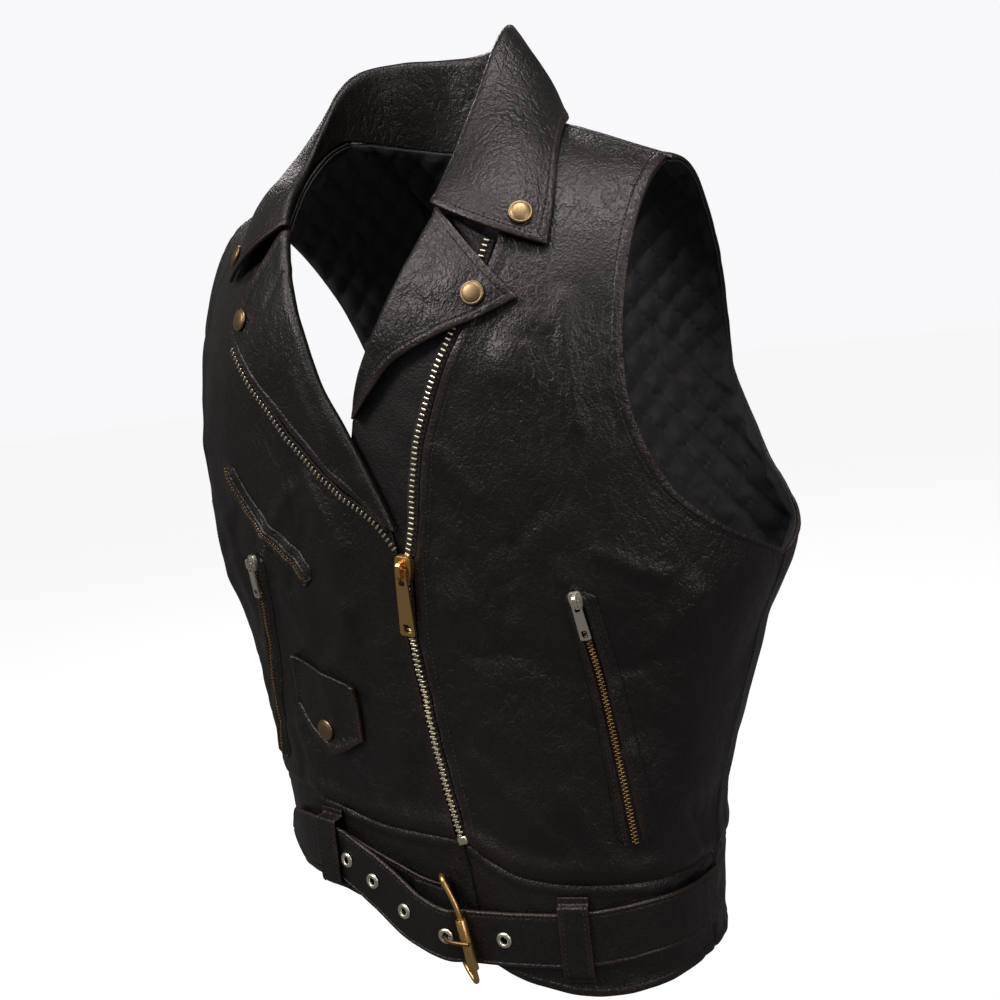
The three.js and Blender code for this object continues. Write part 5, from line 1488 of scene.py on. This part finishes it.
facing_right()
underlap()
lapel(
    "lapel_left_leather", ROLL_LEFT, LAPEL_LEFT_EDGE, -3, lambda s: mix(1.7, 3.7, smooth(s / 0.3)),
    lambda x: mix(4.2, 1.8, smooth((x - 98) / 15)), ["lapel_left"])
lapel(
    "lapel_right_leather", ROLL_RIGHT, LAPEL_RIGHT_EDGE, -0.75, lambda s: mix(2.2, 3, smooth(s / 0.2)),
    lambda x: mix(3.2, 1.8, smooth((-x - 92) / 12)), ["lapel_right"])
collar()
waistband("left", split_at(1), side_at(90 + BAND_LAP), 110)
waistband("right", split_at(-1), side_at(-90 - BAND_LAP), 110)
waistband("back", side_at(90 - BAND_LAP), side_at(270 + BAND_LAP), 170)
belt_tongue()
belt_strap()
belt_loop("left", 107, -517.7, 1.15, 5)
belt_loop("right", -77, -478.4, 0.25, 7.6)

for name, line, half, lift in (
    ("left", moved(CLOSED_ROW, 1.8), 1.4, -0.5), ("left_open", ZIP_LEFT[:-1], 3.9, -0.5),
    ("right", moved(CLOSED_ROW, -1.8), 1.4, -0.5), ("right_open", ZIP_RIGHT[1:], 2.6, 1.0),
):
    tape(f"front_zip_tape_{name}_cloth", line, half, lift, [f"front_zip_tape_{name}"])
row_left = [[27.5, -266], [31.8, -256]] + ZIP_LEFT[1:-1]
teeth("closed_teeth_left", "main", CLOSED_ROW, 0.75, 1.3, ["front_zip_rows_closed"])
teeth("closed_teeth_right", "main", CLOSED_ROW, -0.75, 1.3, [], phase=0.5)
zip_end(CLOSED_ROW)
teeth("open_teeth_left", "main", row_left, 0, 1.3, ["front_zip_row_left"])
teeth("open_teeth_right", "main", ZIP_RIGHT, 0, 3.1, ["front_zip_row_right"])

for name, line, wide_side, wide, narrow, gap, row_end in (
    ("hand_pocket_left", HAND_LEFT, 1, 6, 3, 3.0, 0.92),
    ("hand_pocket_right", HAND_RIGHT, -1, 5.4, 3, 1.6, 0.92),
    ("breast_pocket", BREAST, -1, 5, 5, 1.1, 1),
):
    tape(f"{name}_tape_cloth", line, 5, 0.9, [f"{name}_tape"])
    teeth(f"{name}_teeth_b", "pocket", line, 0.5, 2.1, [f"{name}_rows"], last=row_end)
    teeth(f"{name}_teeth_a", "pocket", line, -0.5, 2.1, [], last=row_end, phase=0.5)
    welt(f"{name}_welt_wide_leather", line, wide_side, gap, 5.2 + wide, 2.5, [f"{name}_welt_wide"])
    welt(f"{name}_welt_narrow_leather", line, -wide_side, gap, 5.2 + narrow, 2.3, [f"{name}_welt_narrow"])

coin_flap()
snap("snap_collar_left", "collar_leather", (113, -78, -70), "antique")
snap("snap_collar_right", "collar_leather", (-106, -76, -73), "dark_brass")
snap("snap_lapel_left", "lapel_left_leather", (94, -110, -110), "antique")
snap("snap_lapel_right", "lapel_right_leather", (-90, -110, -112), "antique")
snap("snap_coin_flap", "coin_flap_leather", (-69, -112, -391), "antique")
eyelets()
buckle()
sew()

for name, look in (("front_zip", "brass"), ("hand_pocket_left", "silver"), ("hand_pocket_right", "silver")):
    for node in (f"{name}_slider", f"{name}_pull"):
        for material_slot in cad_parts[node].material_slots:
            material_slot.material = LOOKS[look]


def studio():
    """Pale floor, white surroundings and soft lights."""
    bpy.ops.object.select_all(action="DESELECT")
    bpy.ops.mesh.primitive_circle_add(vertices=64, radius=9, fill_type="NGON", location=(0, 0, -0.9))
    floor = bpy.context.object
    floor.name = "studio_floor"
    look = Look("studio_floor_paint", Emission_Color=(1, 1, 1, 1), Emission_Strength=0.9)
    look.feed(
        Base_Color=look.blend((0.12, 0.12, 0.12), (0.15, 0.15, 0.15), look.noise(3)),
        Roughness=look.noise(8) * 0.2 + 0.7)
    floor.data.materials.append(look.material)
    floor.visible_diffuse = floor.visible_glossy = False
    world = bpy.data.worlds.new("studio_world")
    world.use_nodes = True
    nodes, links = world.node_tree.nodes, world.node_tree.links
    soft = nodes["Background"]
    soft.inputs["Color"].default_value = (1, 0.95, 0.94, 1)
    soft.inputs["Strength"].default_value = 0.13
    seen = nodes.new("ShaderNodeBackground")
    seen.inputs["Color"].default_value = (0.98, 0.98, 1, 1)
    seen.inputs["Strength"].default_value = 0.96
    mixer = nodes.new("ShaderNodeMixShader")
    path = nodes.new("ShaderNodeLightPath")
    links.new(path.outputs["Is Camera Ray"], mixer.inputs[0])
    links.new(soft.outputs[0], mixer.inputs[1])
    links.new(seen.outputs[0], mixer.inputs[2])
    links.new(mixer.outputs[0], nodes["World Output"].inputs["Surface"])
    bpy.context.scene.world = world
    bpy.context.scene.view_settings.view_transform = "Standard"
    for name, place, target, width, height, power in (
        ("key_light", (-0.9, -1.9, 1.5), (0, -0.05, -0.15), 1.0, 1.0, 44),
        ("side_light", (2.2, -0.9, 0.7), (0.15, 0, -0.3), 0.5, 1.4, 15),
        ("back_light", (-1.4, 1.7, 1.1), (0, 0.1, -0.2), 1.2, 1.0, 34),
        ("top_light", (0.5, -0.5, 1.9), (0, 0, -0.1), 1.0, 0.7, 26),
    ):
        light = bpy.data.lights.new(name, "AREA")
        light.shape, light.size, light.size_y, light.energy = "RECTANGLE", width, height, power
        light.color = (1, 0.93, 0.91)
        lamp = bpy.data.objects.new(name, light)
        bpy.context.collection.objects.link(lamp)
        lamp.location = place
        lamp.rotation_euler = (Vector(target) - Vector(place)).to_track_quat("-Z", "Y").to_euler()


studio()
